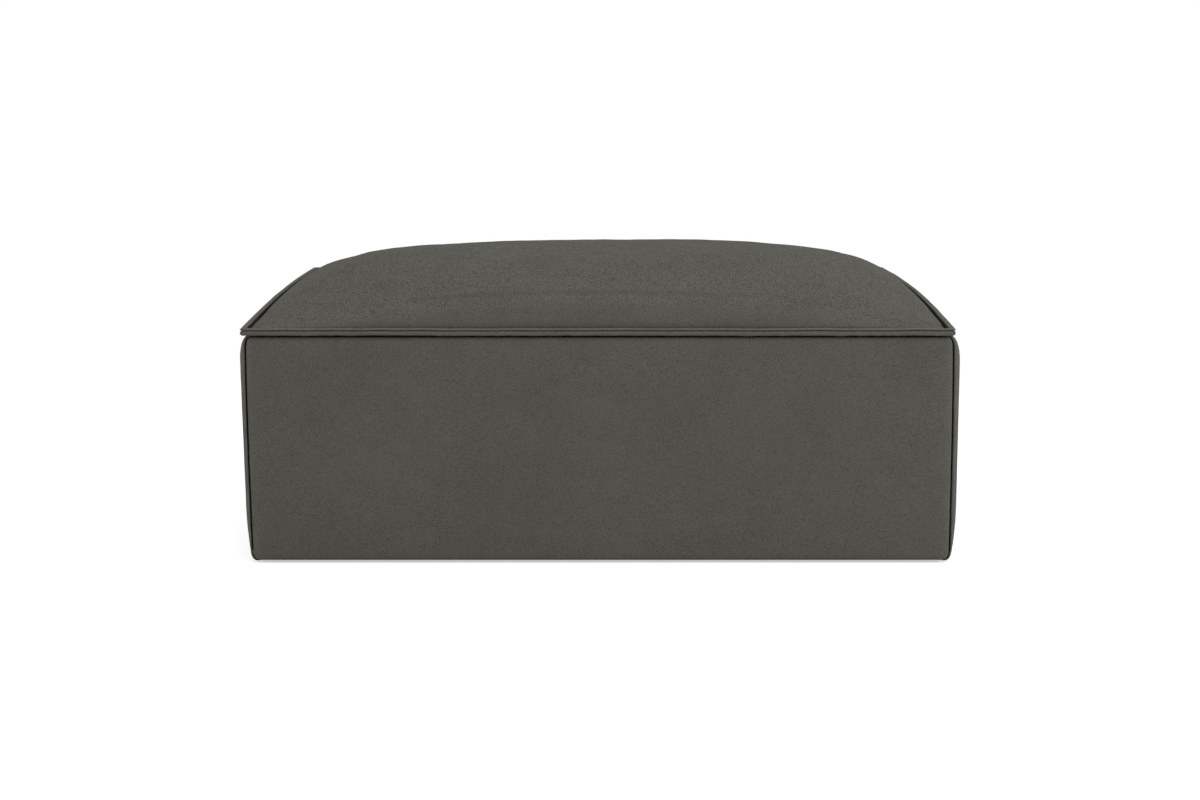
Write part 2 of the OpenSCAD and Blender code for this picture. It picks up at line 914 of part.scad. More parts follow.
strip(-1, base_h + strip_t + strip_gap);  // hook_strip_left
strip(1, base_h + strip_t + strip_gap);  // hook_strip_right
zip_stringers();
zip_slider();
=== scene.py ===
from math import copysign, cos, pi, radians, sin, tau

import bmesh
import bpy
import numpy as np
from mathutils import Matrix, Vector


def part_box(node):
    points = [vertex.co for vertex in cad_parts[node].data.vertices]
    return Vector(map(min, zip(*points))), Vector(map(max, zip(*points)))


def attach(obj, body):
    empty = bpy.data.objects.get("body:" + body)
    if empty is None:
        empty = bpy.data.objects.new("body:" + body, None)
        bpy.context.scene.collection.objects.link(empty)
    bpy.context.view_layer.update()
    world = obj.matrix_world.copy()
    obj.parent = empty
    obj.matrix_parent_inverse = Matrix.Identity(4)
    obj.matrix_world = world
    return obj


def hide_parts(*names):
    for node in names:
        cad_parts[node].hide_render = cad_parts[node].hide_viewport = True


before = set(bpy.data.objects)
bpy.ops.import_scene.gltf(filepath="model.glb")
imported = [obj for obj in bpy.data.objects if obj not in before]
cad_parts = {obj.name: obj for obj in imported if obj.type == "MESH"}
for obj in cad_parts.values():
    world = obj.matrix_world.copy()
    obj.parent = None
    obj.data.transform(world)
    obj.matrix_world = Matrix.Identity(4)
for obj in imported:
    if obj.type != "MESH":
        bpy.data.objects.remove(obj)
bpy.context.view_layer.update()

# Sizes of the base, read from the frame, in metres
front_low, front_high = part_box("front_cover")
side_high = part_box("right_cover")[1]
HALF_W = front_high.x
HALF_D = -front_low.y
SIDE_X = side_high.x
FOOT_DROP = 0.0012
TOP_DROP = 0.0011
FOOT_Z = front_low.z - FOOT_DROP
TOP_Z = front_high.z - TOP_DROP

# Cover cloth, its seams and its rounded edges
CLOTH = 0.0015
SEAM_GAP = 0.0011
SEAM_DEPTH = 0.009
ROLL_X = 0.004
ROLL_OUT = 0.0055
ROLL_Z = 0.006
TOP_IN = 0.0062
TOP_IN_RUN = 0.012
FOOT_IN = 0.0095
FOOT_IN_RUN = 0.015
PUFF_PAST = 0.0023
PUFF_OUT = SIDE_X - HALF_W + PUFF_PAST
PUFF_RUN = 0.027
PUFF_TOP = 0.038
PUFF_FOOT = 0.085
FOOT_TUCK = 0.003
FOOT_TUCK_RUN = 0.005
HEM_IN = 0.034
SIDE_HEM_IN = 0.031
FACE_PUFF = 0.0022
SIDE_PUFF = 0.0015
PUFF_RISE = 0.12
ASIDE_TOP = 0.0008
ASIDE_FOOT = 0.0036
SEAM_SPREAD = 0.003
SEAM_SPREAD_RUN = 0.2
FLAP_IN = 0.0123
FULLNESS = {"left": 0.88, "right": 1.0}
SEEDS = {"front": 3, "back": 7, "left": 11, "right": 17}

# The cushion's outline and crown
crown_low, crown_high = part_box("cushion_top_cover")
SIDE_BOW = 0.009
CUSHION_ASIDE = -0.0014
CUSHION_X = crown_high.x - SIDE_BOW
CUSHION_Y = crown_high.y
FLANGE_Z = crown_low.z
CROWN_FOOT = FLANGE_Z + CLOTH / 2
EDGE_RISE = 0.0296
CROWN_RISE = crown_high.z - CROWN_FOOT - EDGE_RISE
ROLL_RUN = 0.044
ROLL_POWER = 2.2
SIDE_RUN = 0.1
SIDE_POWER = 2.3
WIDTH_POWER = 5.2
DEPTH_POWER = 2.68
CORNER_DROP = 0.9
CORNER_RUN = 0.267
CORNER_PULL = 0.0002
FULLER_RIGHT = 0.0035
BOW_RIGHT = 0.004
BOW_BACK = 0.32
CROWN_IN = 0.0112
SKIRT = 0.0055
LONG_SKIRT = 0.016
SWELLING = 0.005
VOXEL = 0.006
FRAMES = 20
SIDEWAYS = 0.3

# How far the fibre, the foam core and the bottom cover stay in from the cushion's edge
FIBRE_IN = 0.017
FOAM_IN = 0.0258
UNDERSIDE_IN = 0.0102

# The rolled band under the flange
BAND_WIDTH = 0.010
BAND_GAP = 0.0012

# The hem sewn round the crown: (inset, height over its foot), from its inner wall round its lip and back
FLANGE_T = 0.0026
HEM_SECTION = [
    (0.0078, -0.0045), (0.0050, 0.0), (0.0014, 0.0001), (0.0004, 0.0006), (0.0, 0.0014),
    (0.0004, 0.0019), (0.0012, 0.0024), (0.0028, FLANGE_T), (0.0068, FLANGE_T),
    (0.0081, 0.0020), (0.0085, 0.0010), (0.0086, -0.0015), (0.0086, -0.0045),
]
# Inset where the hem's painted highlight on its lip gives way to painted shade on its inner wall
HEM_HIGHLIGHT_TO_SHADE = 0.0084


def unit(value):
    """The value held between 0 and 1."""
    return np.clip(value, 0.0, 1.0)


def roll(distance, run, power=2.0):
    """Rises from 0 at an edge to 1 at the distance run, like a rounded shoulder."""
    share = unit(distance / run)
    return (1.0 - (1.0 - share) ** power) ** (1.0 / power)


def sway(seed, a, b, wave):
    """A smooth, uneven field between about -1 and 1, with humps about one wave apart."""
    rng = np.random.default_rng(seed)
    total = np.zeros(np.broadcast(a, b).shape)
    for _ in range(7):
        turn = rng.uniform(0.0, tau)
        length = wave * rng.uniform(0.7, 1.8)
        phase = rng.uniform(0.0, tau)
        total = total + np.sin(tau * (a * cos(turn) + b * sin(turn)) / length + phase)
    return total / 3.5


def grid_faces(rows, columns, first=0, flip=False):
    """Quads between the points of a grid that is stored row by row."""
    index = first + np.arange(rows * columns).reshape(rows, columns)
    quads = np.stack([index[:-1, :-1], index[:-1, 1:], index[1:, 1:], index[1:, :-1]], axis=-1)
    quads = quads.reshape(-1, 4)
    return quads[:, ::-1] if flip else quads


def sheet_faces(points, flip=False):
    """Quads of a whole sheet of points, rows by columns."""
    return grid_faces(*points.shape[:2], flip=flip)


def border(rows, columns, first=0):
    """The indices round the edge of a grid, in one turn."""
    index = first + np.arange(rows * columns).reshape(rows, columns)
    return np.concatenate([index[0, :-1], index[:-1, -1], index[-1, :0:-1], index[:0:-1, 0]])


def ring_faces(a, b, flip=False):
    """Quads between two closed rows of indices."""
    quads = np.stack([a, np.roll(a, -1), np.roll(b, -1), b], axis=-1)
    return quads[:, ::-1] if flip else quads


def tube_faces(index, flip=False):
    """Quads between stacked closed rows of indices, and a cap at each end."""
    quads = np.concatenate([ring_faces(a, b, flip) for a, b in zip(index[:-1], index[1:])])
    ends = [index[-1][::-1], index[0]] if flip else [index[-1], index[0][::-1]]
    return list(quads) + ends


def joined(bits):
    """Several (points, faces) bits as one."""
    points, faces, first = [], [], 0
    for some, around in bits:
        points.append(some)
        faces += [first + face for face in around]
        first += len(some)
    return np.concatenate(points), faces


def add_to_scene(name, data):
    """An object in the scene from a mesh, a lamp or a lens."""
    made = bpy.data.objects.new(name, data)
    bpy.context.scene.collection.objects.link(made)
    return made


def bare_piece(name, points, faces):
    """A mesh object from points and faces, without a finish."""
    mesh = bpy.data.meshes.new(name)
    mesh.from_pydata([tuple(p) for p in np.asarray(points)], [], [list(map(int, f)) for f in faces])
    mesh.update()
    return add_to_scene(name, mesh)


def make_piece(name, points, faces, material, slot, body, replaced=()):
    """A smooth mesh piece that rides on a body and takes the material given. slot is not used."""
    return dress(bare_piece(name, points, faces), material, body, replaced)


def dress(piece, material, body, replaced=()):
    """Gives a piece its material and body, shades it smooth, and hides the CAD nodes that it stands for."""
    piece.data.materials.clear()
    piece.data.materials.append(material)
    piece.data.shade_smooth()
    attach(piece, body)
    if replaced:
        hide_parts(*replaced)
    return piece


def thicken(piece, thickness):
    """Gives a sheet its thickness, behind the face that was modelled."""
    shell = piece.modifiers.new("cloth thickness", "SOLIDIFY")
    shell.thickness = thickness
    shell.offset = -1.0


def pad(name, points, faces, material, body, node):
    """A stuffed piece of foam or fibre in place of a CAD node."""
    piece = make_piece(name, points, faces, material, "foam" if material is foam else "fibre", body, [node])
    return piece


def mark(piece, name, values):
    """Stores one number per point, which the materials read as a mask."""
    mask = piece.data.attributes.new(name, "FLOAT", "POINT")
    mask.data.foreach_set("value", unit(values).astype(np.float32).ravel())


# Shader helpers
def feed(tree, socket, value):
    """Links an output into a socket, or sets the socket's own value. Colours are opaque."""
    if isinstance(value, bpy.types.NodeSocket):
        tree.links.new(value, socket)
    elif socket.type == "RGBA":
        socket.default_value = (*value, 1.0)
    else:
        socket.default_value = value


def put(tree, kind, inputs=None, **settings):
    """Adds a shader node of a kind, sets its settings, and feeds its inputs by name or number."""
    made = tree.nodes.new("ShaderNode" + kind)
    for key, value in settings.items():
        setattr(made, key, value)
    for key, value in (inputs or {}).items():
        feed(tree, made.inputs[key], value)
    return made


def calc(tree, operation, a, b=0.0):
    """One sum of two numbers, either of which may be an output."""
    return put(tree, "Math", {0: a, 1: b}, operation=operation).outputs[0]


def times(tree, a, b):
    return calc(tree, "MULTIPLY", a, b)


def plus(tree, a, b):
    return calc(tree, "ADD", a, b)


def noise(tree, place, scale, detail, **more):
    """Noise of a scale per metre. more sets other inputs of the node, such as Roughness."""
    inputs = {"Vector": place, "Scale": scale, "Detail": detail, **more}
    return put(tree, "TexNoise", inputs).outputs


def stretched(tree, place, factors):
    """The place with each axis multiplied, which draws a pattern out where a factor is below 1."""
    return put(tree, "VectorMath", {0: place, 1: factors}, operation="MULTIPLY").outputs[0]


def shifted(tree, place, colours, reach):
    """The place pushed aside by a noise's colours, up to about reach."""
    push = put(tree, "VectorMath", {0: colours, "Scale": reach}, operation="SCALE").outputs[0]
    return put(tree, "VectorMath", {0: place, 1: push}, operation="ADD").outputs[0]


def stored(tree, name):
    """A mask that mark() stored on the piece. It is 0 on pieces without it."""
    return put(tree, "Attribute", attribute_name=name).outputs["Fac"]


def coat(tree, shader, colour, roughness, more=None):
    """Feeds a finish's colour, roughness and more of its shader's inputs."""
    for name, value in {"Base Color": colour, "Roughness": roughness, **(more or {})}.items():
        feed(tree, shader.inputs[name], value)


def mix_colour(tree, factor, a, b, blend="MIX"):
    """Goes from colour a to colour b, or blends b over a."""
    inputs = {0: factor, 6: a, 7: b}
    return put(tree, "Mix", inputs, data_type="RGBA", blend_type=blend).outputs[2]


def mix_shader(tree, factor, a, b):
    """Goes from shader a to shader b."""
    return put(tree, "MixShader", {0: factor, 1: a, 2: b}).outputs[0]


def span(tree, value, low, high, to_low=0.0, to_high=1.0):
    """Carries a value from one range to another and clamps it there."""
    inputs = {"Value": value, "From Min": low, "From Max": high, "To Min": to_low, "To Max": to_high}
    return put(tree, "MapRange", inputs).outputs[0]


def new_group(name, inputs, outputs):
    """A node group with float or vector inputs (name: default) and named outputs."""
    group = bpy.data.node_groups.new(name, "ShaderNodeTree")
    for label, default in inputs.items():
        kind = "NodeSocketVector" if default is None else "NodeSocketFloat"
        socket = group.interface.new_socket(name=label, in_out="INPUT", socket_type=kind)
        if default is not None:
            socket.default_value = default
    for label in outputs:
        group.interface.new_socket(name=label, in_out="OUTPUT", socket_type="NodeSocketFloat")
    return group, group.nodes.new("NodeGroupInput").outputs, group.nodes.new("NodeGroupOutput")


def use_group(tree, group, inputs):
    """The outputs of a shared effect with its inputs fed."""
    return put(tree, "Group", inputs, node_tree=group).outputs


def pebble_group():
    """Small soft pebbles, Size across, in metres, and the pits between them, which the cloth paints with
    shade.
    """
    group, given, out = new_group("pebbled nap", {"Place": None, "Size": 0.0045}, ["Height", "Pits"])
    scale = calc(group, "DIVIDE", 1.0, given["Size"])
    drift = noise(group, given["Place"], 90.0, 1.0)["Color"]
    place = shifted(group, given["Place"], drift, 0.002)
    cells = put(group, "TexVoronoi", {"Vector": place, "Scale": scale}, feature="F1")
    from_middle = cells.outputs["Distance"]
    fine = noise(group, given["Place"], times(group, scale, 1.5), 2.0, Roughness=0.6)[0]
    dome = span(group, from_middle, 0.1, 0.75, 1.0, 0.0)
    height = plus(group, times(group, dome, 0.7), times(group, fine, 0.6))
    group.links.new(height, out.inputs["Height"])
    pits = times(group, span(group, from_middle, 0.42, 0.72), span(group, fine, 0.5, 0.36))
    group.links.new(pits, out.inputs["Pits"])
    return group


def cloud_group():
    """Soft uneven patches about Size across, in metres, from 0 to 1."""
    group, given, out = new_group("cloudy patches", {"Place": None, "Size": 0.08}, ["Tone"])
    scale = calc(group, "DIVIDE", 1.0, given["Size"])
    broad = noise(group, given["Place"], scale, 2.0)[0]
    small = noise(group, given["Place"], times(group, scale, 3.3), 3.0)[0]
    both = plus(group, times(group, broad, 0.6), times(group, small, 0.4))
    group.links.new(span(group, both, 0.32, 0.68), out.inputs["Tone"])
    return group


def weave_group():
    """Over and under threads, Pitch apart, in metres, across x and y."""
    group, given, out = new_group("plain weave", {"Place": None, "Pitch": 0.001}, ["Height"])
    step = calc(group, "DIVIDE", pi, given["Pitch"])
    parts = put(group, "SeparateXYZ", {0: given["Place"]}).outputs
    across = calc(group, "SINE", times(group, parts["X"], step))
    along = calc(group, "SINE", times(group, parts["Y"], step))
    group.links.new(span(group, times(group, across, along), -1.0, 1.0), out.inputs["Height"])
    return group


def grain_group():
    """Long wood grain along Z: growth bands across, fibres along."""
    group, given, out = new_group("pine grain", {"Place": None, "Ring": 0.006}, ["Band", "Fibre"])
    bend = noise(group, given["Place"], 3.0, 2.0)["Color"]
    place = stretched(group, shifted(group, given["Place"], bend, 0.03), (1.0, 1.0, 0.06))
    scale = calc(group, "DIVIDE", 0.16, given["Ring"])
    inputs = {"Vector": place, "Scale": scale, "Distortion": 2.2, "Detail": 2.0, "Detail Scale": 1.4}
    rings = put(group, "TexWave", inputs, wave_type="RINGS", rings_direction="Z")
    group.links.new(rings.outputs["Fac"], out.inputs["Band"])
    streaks = noise(group, stretched(group, given["Place"], (1.0, 1.0, 0.03)), 900.0, 3.0)[0]
    group.links.new(streaks, out.inputs["Fibre"])
    return group


def scuff_group():
    """Fine scratches and rubbed patches, from 0 to 1."""
    group, given, out = new_group("scuffs", {"Place": None, "Size": 0.01}, ["Mask"])
    scale = calc(group, "DIVIDE", 1.0, given["Size"])
    patch = noise(group, given["Place"], scale, 4.0)[0]
    thin = stretched(group, given["Place"], (1.0, 14.0, 6.0))
    lines = noise(group, thin, times(group, scale, 3.0), 5.0)[0]
    scratched = times(group, span(group, patch, 0.42, 0.66), span(group, lines, 0.56, 0.68))
    group.links.new(scratched, out.inputs["Mask"])
    return group


# Shades of the cover cloth: its own tones, a tone for wear with a painted highlight, and painted shade for
# the pebbles' pits and for down in the seams
DARK_NAP, LIGHT_NAP = (0.0824, 0.0799, 0.0692), (0.0958, 0.0929, 0.0805)
WORN_AND_HIGHLIGHT_NAP = (0.128, 0.1242, 0.1084)
PIT_SHADE_NAP = (0.0412, 0.04, 0.0346)
SEAM_SHADE_NAP = (0.013, 0.0126, 0.011)

PEBBLES = pebble_group()
CLOUDS = cloud_group()
WEAVE = weave_group()
GRAIN = grain_group()
SCUFFS = scuff_group()


def start_material(name):
    """A material with its Principled shader, and the piece's own coordinates."""
    material = bpy.data.materials.new(name)
    material.use_nodes = True
    tree = material.node_tree
    shader = tree.nodes["Principled BSDF"]
    place = put(tree, "TexCoord").outputs["Object"]
    return material, tree, shader, place


def bump(tree, shader, height, distance, strength=1.0, under=None):
    """Raises the surface by a height, over a bump under it if there is one."""
    inputs = {"Height": height, "Distance": distance, "Strength": strength}
    if under is not None:
        inputs["Normal"] = under
    made = put(tree, "Bump", inputs)
    tree.links.new(made.outputs[0], shader.inputs["Normal"])
    return made.outputs[0]


def clouds(tree, place, size):
    """Cloudy patches about size across."""
    return use_group(tree, CLOUDS, {"Place": place, "Size": size})["Tone"]


def microfibre(name, brushed, pebble, grain, upright):
    """Suede-like charcoal microfibre: pebbled and cloudy, paler with wear and a painted highlight where
    marked, with painted shade in its pits and down in its seams.

    brushed below 1 draws the pebbles out along the depth. Light and shade are painted by facing: up-facing
    faces are lighter and their pebbles' relief is painted deeper, and upright is the painted shade of
    upright faces.
    """
    material, tree, shader, place = start_material(name)
    combed = stretched(tree, place, (1.0, brushed, 1.0))
    pebbles = use_group(tree, PEBBLES, {"Place": combed, "Size": pebble})
    broad = clouds(tree, place, 0.11)
    nap = clouds(tree, place, 0.03)
    tone = plus(tree, times(tree, broad, 0.7), times(tree, nap, 0.3))
    colour = mix_colour(tree, tone, DARK_NAP, LIGHT_NAP)
    # Wear with a painted highlight, in patches, where a piece is marked for it
    patchy_wear_and_highlight = times(tree, stored(tree, "wear_and_highlight"), span(tree, nap, 0.0, 1.0, 0.55, 1.0))
    colour = mix_colour(tree, patchy_wear_and_highlight, colour, WORN_AND_HIGHLIGHT_NAP)
    # Painted shade in the pits between the pebbles
    colour = mix_colour(tree, times(tree, pebbles["Pits"], 0.4), colour, PIT_SHADE_NAP)
    # Painted light and shade by facing: up-facing faces lighter, upright ones set by upright; the pebbles'
    # relief is painted as light and shade, deeper on up-facing faces
    facing = put(tree, "NewGeometry").outputs["Normal"]
    up = put(tree, "SeparateXYZ", {0: facing}).outputs["Z"]
    depth = span(tree, up, 0.75, 0.97, grain, 2.4 * grain)
    pebble_relief_painted_light = times(tree, span(tree, pebbles["Height"], 0.35, 0.95, -1.0, 1.0), depth)
    shade = plus(tree, pebble_relief_painted_light, span(tree, up, 0.72, 0.94, upright, 1.1))
    shades = put(tree, "CombineColor", {0: shade, 1: shade, 2: shade}).outputs[0]
    colour = mix_colour(tree, 1.0, colour, shades, "MULTIPLY")
    # Painted shade down in the seams, where a piece is marked for it
    colour = mix_colour(tree, stored(tree, "painted_seam_shade"), colour, SEAM_SHADE_NAP)
    sheen = {"Sheen Weight": 0.008, "Sheen Roughness": 0.6, "Sheen Tint": (0.9, 0.88, 0.82)}
    matt = span(tree, tone, 0.0, 1.0, 0.92, 0.8)
    coat(tree, shader, colour, matt, {"Specular IOR Level": 0.04, **sheen})
    soft = bump(tree, shader, nap, 0.0006, 0.2)
    bump(tree, shader, pebbles["Height"], 0.0004, 0.55, soft)
    return material


def spunbond(name, dark, light):
    """Black non-woven cloth with its fine pressed dots."""
    material, tree, shader, place = start_material(name)
    dots = put(tree, "TexVoronoi", {"Vector": place, "Scale": 620.0, "Randomness": 0.15})
    fibres = noise(tree, place, 420.0, 6.0, Roughness=0.7)[0]
    # Patches lighter and darker, painted as the light and shade of crumpled cloth
    painted_crease_shading = clouds(tree, place, 0.05)
    pressed = span(tree, dots.outputs["Distance"], 0.18, 0.34)
    tone = times(tree, fibres, span(tree, painted_crease_shading, 0.0, 1.0, 0.7, 1.1))
    matt = span(tree, pressed, 0.0, 1.0, 0.62, 0.9)
    coat(tree, shader, mix_colour(tree, tone, dark, light), matt, {"Sheen Weight": 0.1})
    bump(tree, shader, plus(tree, pressed, times(tree, fibres, 0.6)), 0.0003, 0.5)
    return material


def woven_tape(name, dark, light, pitch):
    """Fuzzy tape with threads pitch apart."""
    material, tree, shader, place = start_material(name)
    threads = use_group(tree, WEAVE, {"Place": place, "Pitch": pitch})["Height"]
    fuzz = noise(tree, place, 1500.0, 4.0)[0]
    colour = mix_colour(tree, times(tree, threads, fuzz), dark, light)
    coat(tree, shader, colour, span(tree, threads, 0.0, 1.0, 0.9, 0.65))
    bump(tree, shader, plus(tree, threads, fuzz), 0.0003, 0.7)
    return material


def fluffy_fibre(name):
    """White polyester fibre in loose tufts."""
    material, tree, shader, place = start_material(name)
    tufts = noise(tree, place, 60.0, 8.0, Roughness=0.75, Distortion=1.2)[0]
    colour = mix_colour(tree, tufts, (0.62, 0.62, 0.6), (0.9, 0.9, 0.88))
    coat(tree, shader, colour, span(tree, tufts, 0.3, 0.7, 1.0, 0.85), {"Sheen Weight": 0.3})
    bump(tree, shader, tufts, 0.004, 0.7)
    return material


def cut_foam(name):
    """Open-celled foam, yellowed in patches."""
    material, tree, shader, place = start_material(name)
    cells = put(tree, "TexVoronoi", {"Vector": place, "Scale": 900.0})
    ageing = clouds(tree, place, 0.12)
    pores = span(tree, cells.outputs["Distance"], 0.2, 0.6)
    colour = mix_colour(tree, ageing, (0.72, 0.66, 0.44), (0.8, 0.76, 0.6))
    colour = mix_colour(tree, times(tree, pores, 0.4), colour, (0.45, 0.38, 0.2))
    coat(tree, shader, colour, span(tree, pores, 0.0, 1.0, 0.85, 1.0))
    bump(tree, shader, pores, 0.0006, 0.8)
    return material


def sawn_pine(name, turn):
    """Planed pine with its grain turned along the piece."""
    material, tree, shader, place = start_material(name)
    turned = put(tree, "Mapping", {"Vector": place, "Rotation": turn}).outputs[0]
    grain = use_group(tree, GRAIN, {"Place": turned, "Ring": 0.006})
    dirt = clouds(tree, turned, 0.09)
    colour = mix_colour(tree, grain["Band"], (0.58, 0.4, 0.2), (0.38, 0.2, 0.08))
    colour = mix_colour(tree, times(tree, grain["Fibre"], 0.5), colour, (0.66, 0.5, 0.3))
    colour = mix_colour(tree, times(tree, dirt, 0.25), colour, (0.3, 0.2, 0.11))
    coat(tree, shader, colour, span(tree, grain["Fibre"], 0.2, 0.8, 0.75, 0.5))
    bump(tree, shader, plus(tree, grain["Fibre"], grain["Band"]), 0.0003, 0.5)
    return material


def hardboard(name):
    """Brown pressed board: flat, flecked with fibres."""
    material, tree, shader, place = start_material(name)
    flecks = noise(tree, place, 500.0, 5.0, Roughness=0.8)[0]
    stains = clouds(tree, place, 0.1)
    colour = mix_colour(tree, flecks, (0.16, 0.085, 0.035), (0.36, 0.22, 0.11))
    colour = mix_colour(tree, times(tree, stains, 0.35), colour, (0.2, 0.12, 0.06))
    coat(tree, shader, colour, span(tree, flecks, 0.3, 0.7, 0.8, 0.55))
    bump(tree, shader, flecks, 0.0002, 0.4)
    return material


def bare_steel(name, tone, rough):
    """Drawn or pressed steel with die marks and a little dull scale."""
    material, tree, shader, place = start_material(name)
    scale_marks = use_group(tree, SCUFFS, {"Place": place, "Size": 0.008})["Mask"]
    dull = clouds(tree, place, 0.02)
    bright = tuple(min(1.0, c * 1.25) for c in tone)
    colour = mix_colour(tree, dull, tone, bright)
    colour = mix_colour(tree, times(tree, scale_marks, 0.6), colour, (0.16, 0.12, 0.09))
    coat(tree, shader, colour, span(tree, dull, 0.0, 1.0, rough, rough + 0.2), {"Metallic": 1.0})
    bump(tree, shader, scale_marks, 0.0001, 0.4)
    return material


def moulded_plastic(name):
    """Black moulded plastic, rubbed grey where it slides on the floor."""
    material, tree, shader, place = start_material(name)
    spark = noise(tree, place, 1800.0, 2.0)[0]
    height = put(tree, "SeparateXYZ", {0: place}).outputs["Z"]
    scuffs = use_group(tree, SCUFFS, {"Place": place, "Size": 0.004})["Mask"]
    worn = times(tree, span(tree, height, 0.0015, 0.0), span(tree, scuffs, 0.0, 1.0, 0.35, 1.0))
    colour = mix_colour(tree, worn, (0.018, 0.018, 0.019), (0.11, 0.105, 0.1))
    coat(tree, shader, colour, span(tree, worn, 0.0, 1.0, 0.42, 0.7))
    bump(tree, shader, spark, 0.0001, 0.4)
    return material


def nylon_coil(name):
    """Smooth black nylon with a slight haze."""
    material, tree, shader, place = start_material(name)
    haze = noise(tree, place, 700.0, 2.0)[0]
    colour = mix_colour(tree, haze, (0.02, 0.02, 0.021), (0.05, 0.05, 0.052))
    coat(tree, shader, colour, span(tree, haze, 0.3, 0.7, 0.25, 0.45))
    bump(tree, shader, haze, 0.0001, 0.3)
    return material


def sewing_thread(name):
    """Twisted thread, a shade lighter than the cloth."""
    material, tree, shader, place = start_material(name)
    inputs = {"Vector": place, "Scale": 700.0, "Distortion": 1.0}
    twist = put(tree, "TexWave", inputs, bands_direction="DIAGONAL").outputs["Fac"]
    colour = mix_colour(tree, twist, (0.045, 0.043, 0.038), (0.13, 0.125, 0.11))
    coat(tree, shader, colour, span(tree, twist, 0.0, 1.0, 0.8, 0.5))
    bump(tree, shader, twist, 0.0001, 0.6)
    return material


cover_cloth = microfibre("charcoal microfibre", 1.0, 0.0014, 0.24, 1.0)
# The crown's cloth gets a painted shade of 0.93 on its upright faces
crown_cloth = microfibre("charcoal microfibre, nap brushed front to back", 0.3, 0.0013, 0.2, 0.93)
black_cloth = spunbond("black lining cloth", (0.006, 0.006, 0.0065), (0.03, 0.03, 0.031))
hook_tape = woven_tape("hook and loop tape", (0.008, 0.008, 0.008), (0.05, 0.05, 0.05), 0.0016)
zip_tape = woven_tape("zip tape", (0.012, 0.012, 0.012), (0.06, 0.06, 0.058), 0.0008)
fibre = fluffy_fibre("white fibre wadding")
foam = cut_foam("cut seat foam")
pine_across = sawn_pine("pine along the width", (0.0, pi / 2, 0.0))
pine_deep = sawn_pine("pine along the depth", (pi / 2, 0.0, 0.0))
pine_up = sawn_pine("upright pine", (0.0, 0.0, 0.0))
board = hardboard("brown hardboard")
spring_steel = bare_steel("spring wire", (0.34, 0.34, 0.36), 0.32)
screw_steel = bare_steel("zinc plated screws and nails", (0.56, 0.56, 0.54), 0.28)
dark_metal = bare_steel("dark slider metal", (0.2, 0.2, 0.21), 0.3)
glide_plastic = moulded_plastic("black glide plastic")
coil_nylon = nylon_coil("zip coil nylon")
thread = sewing_thread("charcoal thread")


def finish_frame():
    """Gives the carried-over hard pieces of the frame their own finishes."""
    finishes = {
        "glides": glide_plastic,
        "glide_nails": screw_steel,
        "cover_staples": screw_steel,
        "frame_screws": screw_steel,
        "clip_nails": screw_steel,
        "spring_clips": screw_steel,
        "bottom_stretcher": pine_deep,
    }
    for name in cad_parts:
        if name.startswith("wave_spring"):
            finishes[name] = spring_steel
        elif name.endswith("_board"):
            finishes[name] = board
        elif "post" in name:
            finishes[name] = pine_up
        elif "rail" in name:
            finishes[name] = pine_across if name.endswith(("front", "back")) else pine_deep
    for name, material in finishes.items():
        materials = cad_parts[name].data.materials
        materials.clear()
        materials.append(material)


# Base covers
def edge_angles(steps):
    """Angles over a quarter turn, for a rounded edge."""
    return np.linspace(0.0, pi / 2, steps + 1)


def seam_x(z):
    """Distance of a corner seam from the middle, at a height."""
    top = TOP_IN * (1.0 - roll(TOP_Z - z, TOP_IN_RUN))
    foot = FOOT_IN * (1.0 - roll(z - FOOT_Z, FOOT_IN_RUN))
    return HALF_W - top - foot + SEAM_SPREAD * roll(TOP_Z - z, SEAM_SPREAD_RUN)


def front_depth(z, inset=0.0):
    """How far the front's face falls back at its rolled top and foot."""
    near = np.minimum(TOP_Z - inset - z, z - FOOT_Z - inset)
    return (ROLL_OUT - inset) * (1.0 - roll(near, ROLL_Z - inset))


def long_rows(inset, turned):
    """Rows of a long cover: (depth behind the face, height), from hem to top flap."""
    reach, out = ROLL_Z - inset, ROLL_OUT - inset
    angles = edge_angles(6)
    low, high = FOOT_Z + inset, TOP_Z - inset
    rolled = [(out * (1.0 - cos(a)), reach * (1.0 - sin(a))) for a in angles]
    rows = [(d, low + h) for d, h in rolled[::-1]]
    rows += [(0.0, z) for z in np.linspace(low + reach, high - reach, 46)[1:-1]]
    rows += [(d, high - h) for d, h in rolled]
    if turned:
        hem = [(d, low) for d in np.linspace(HEM_IN, out, 6)[:-1]]
        flap = [(d, high) for d in np.linspace(out, FLAP_IN, 4)[1:]]
        rows = hem + rows + flap
    return np.array(rows)


def long_columns(inset, turned):
    """Columns of a long cover: (share of the flat, distance past it, depth)."""
    out = ROLL_OUT - inset
    flat = [(f, 0.0, 0.0) for f in np.linspace(0.0, 1.0, 62)]
    rolled = [(1.0, ROLL_X * sin(a), out * (1.0 - cos(a))) for a in edge_angles(6)[1:]]
    seam = []
    if turned:
        seam = [(1.0, ROLL_X, 0.0072), (1.0, ROLL_X + SEAM_GAP - 0.0001, SEAM_DEPTH)]
    half = np.array(flat + rolled + seam)
    left = half[:0:-1] * np.array([-1.0, -1.0, 1.0])
    return np.concatenate([left, half])


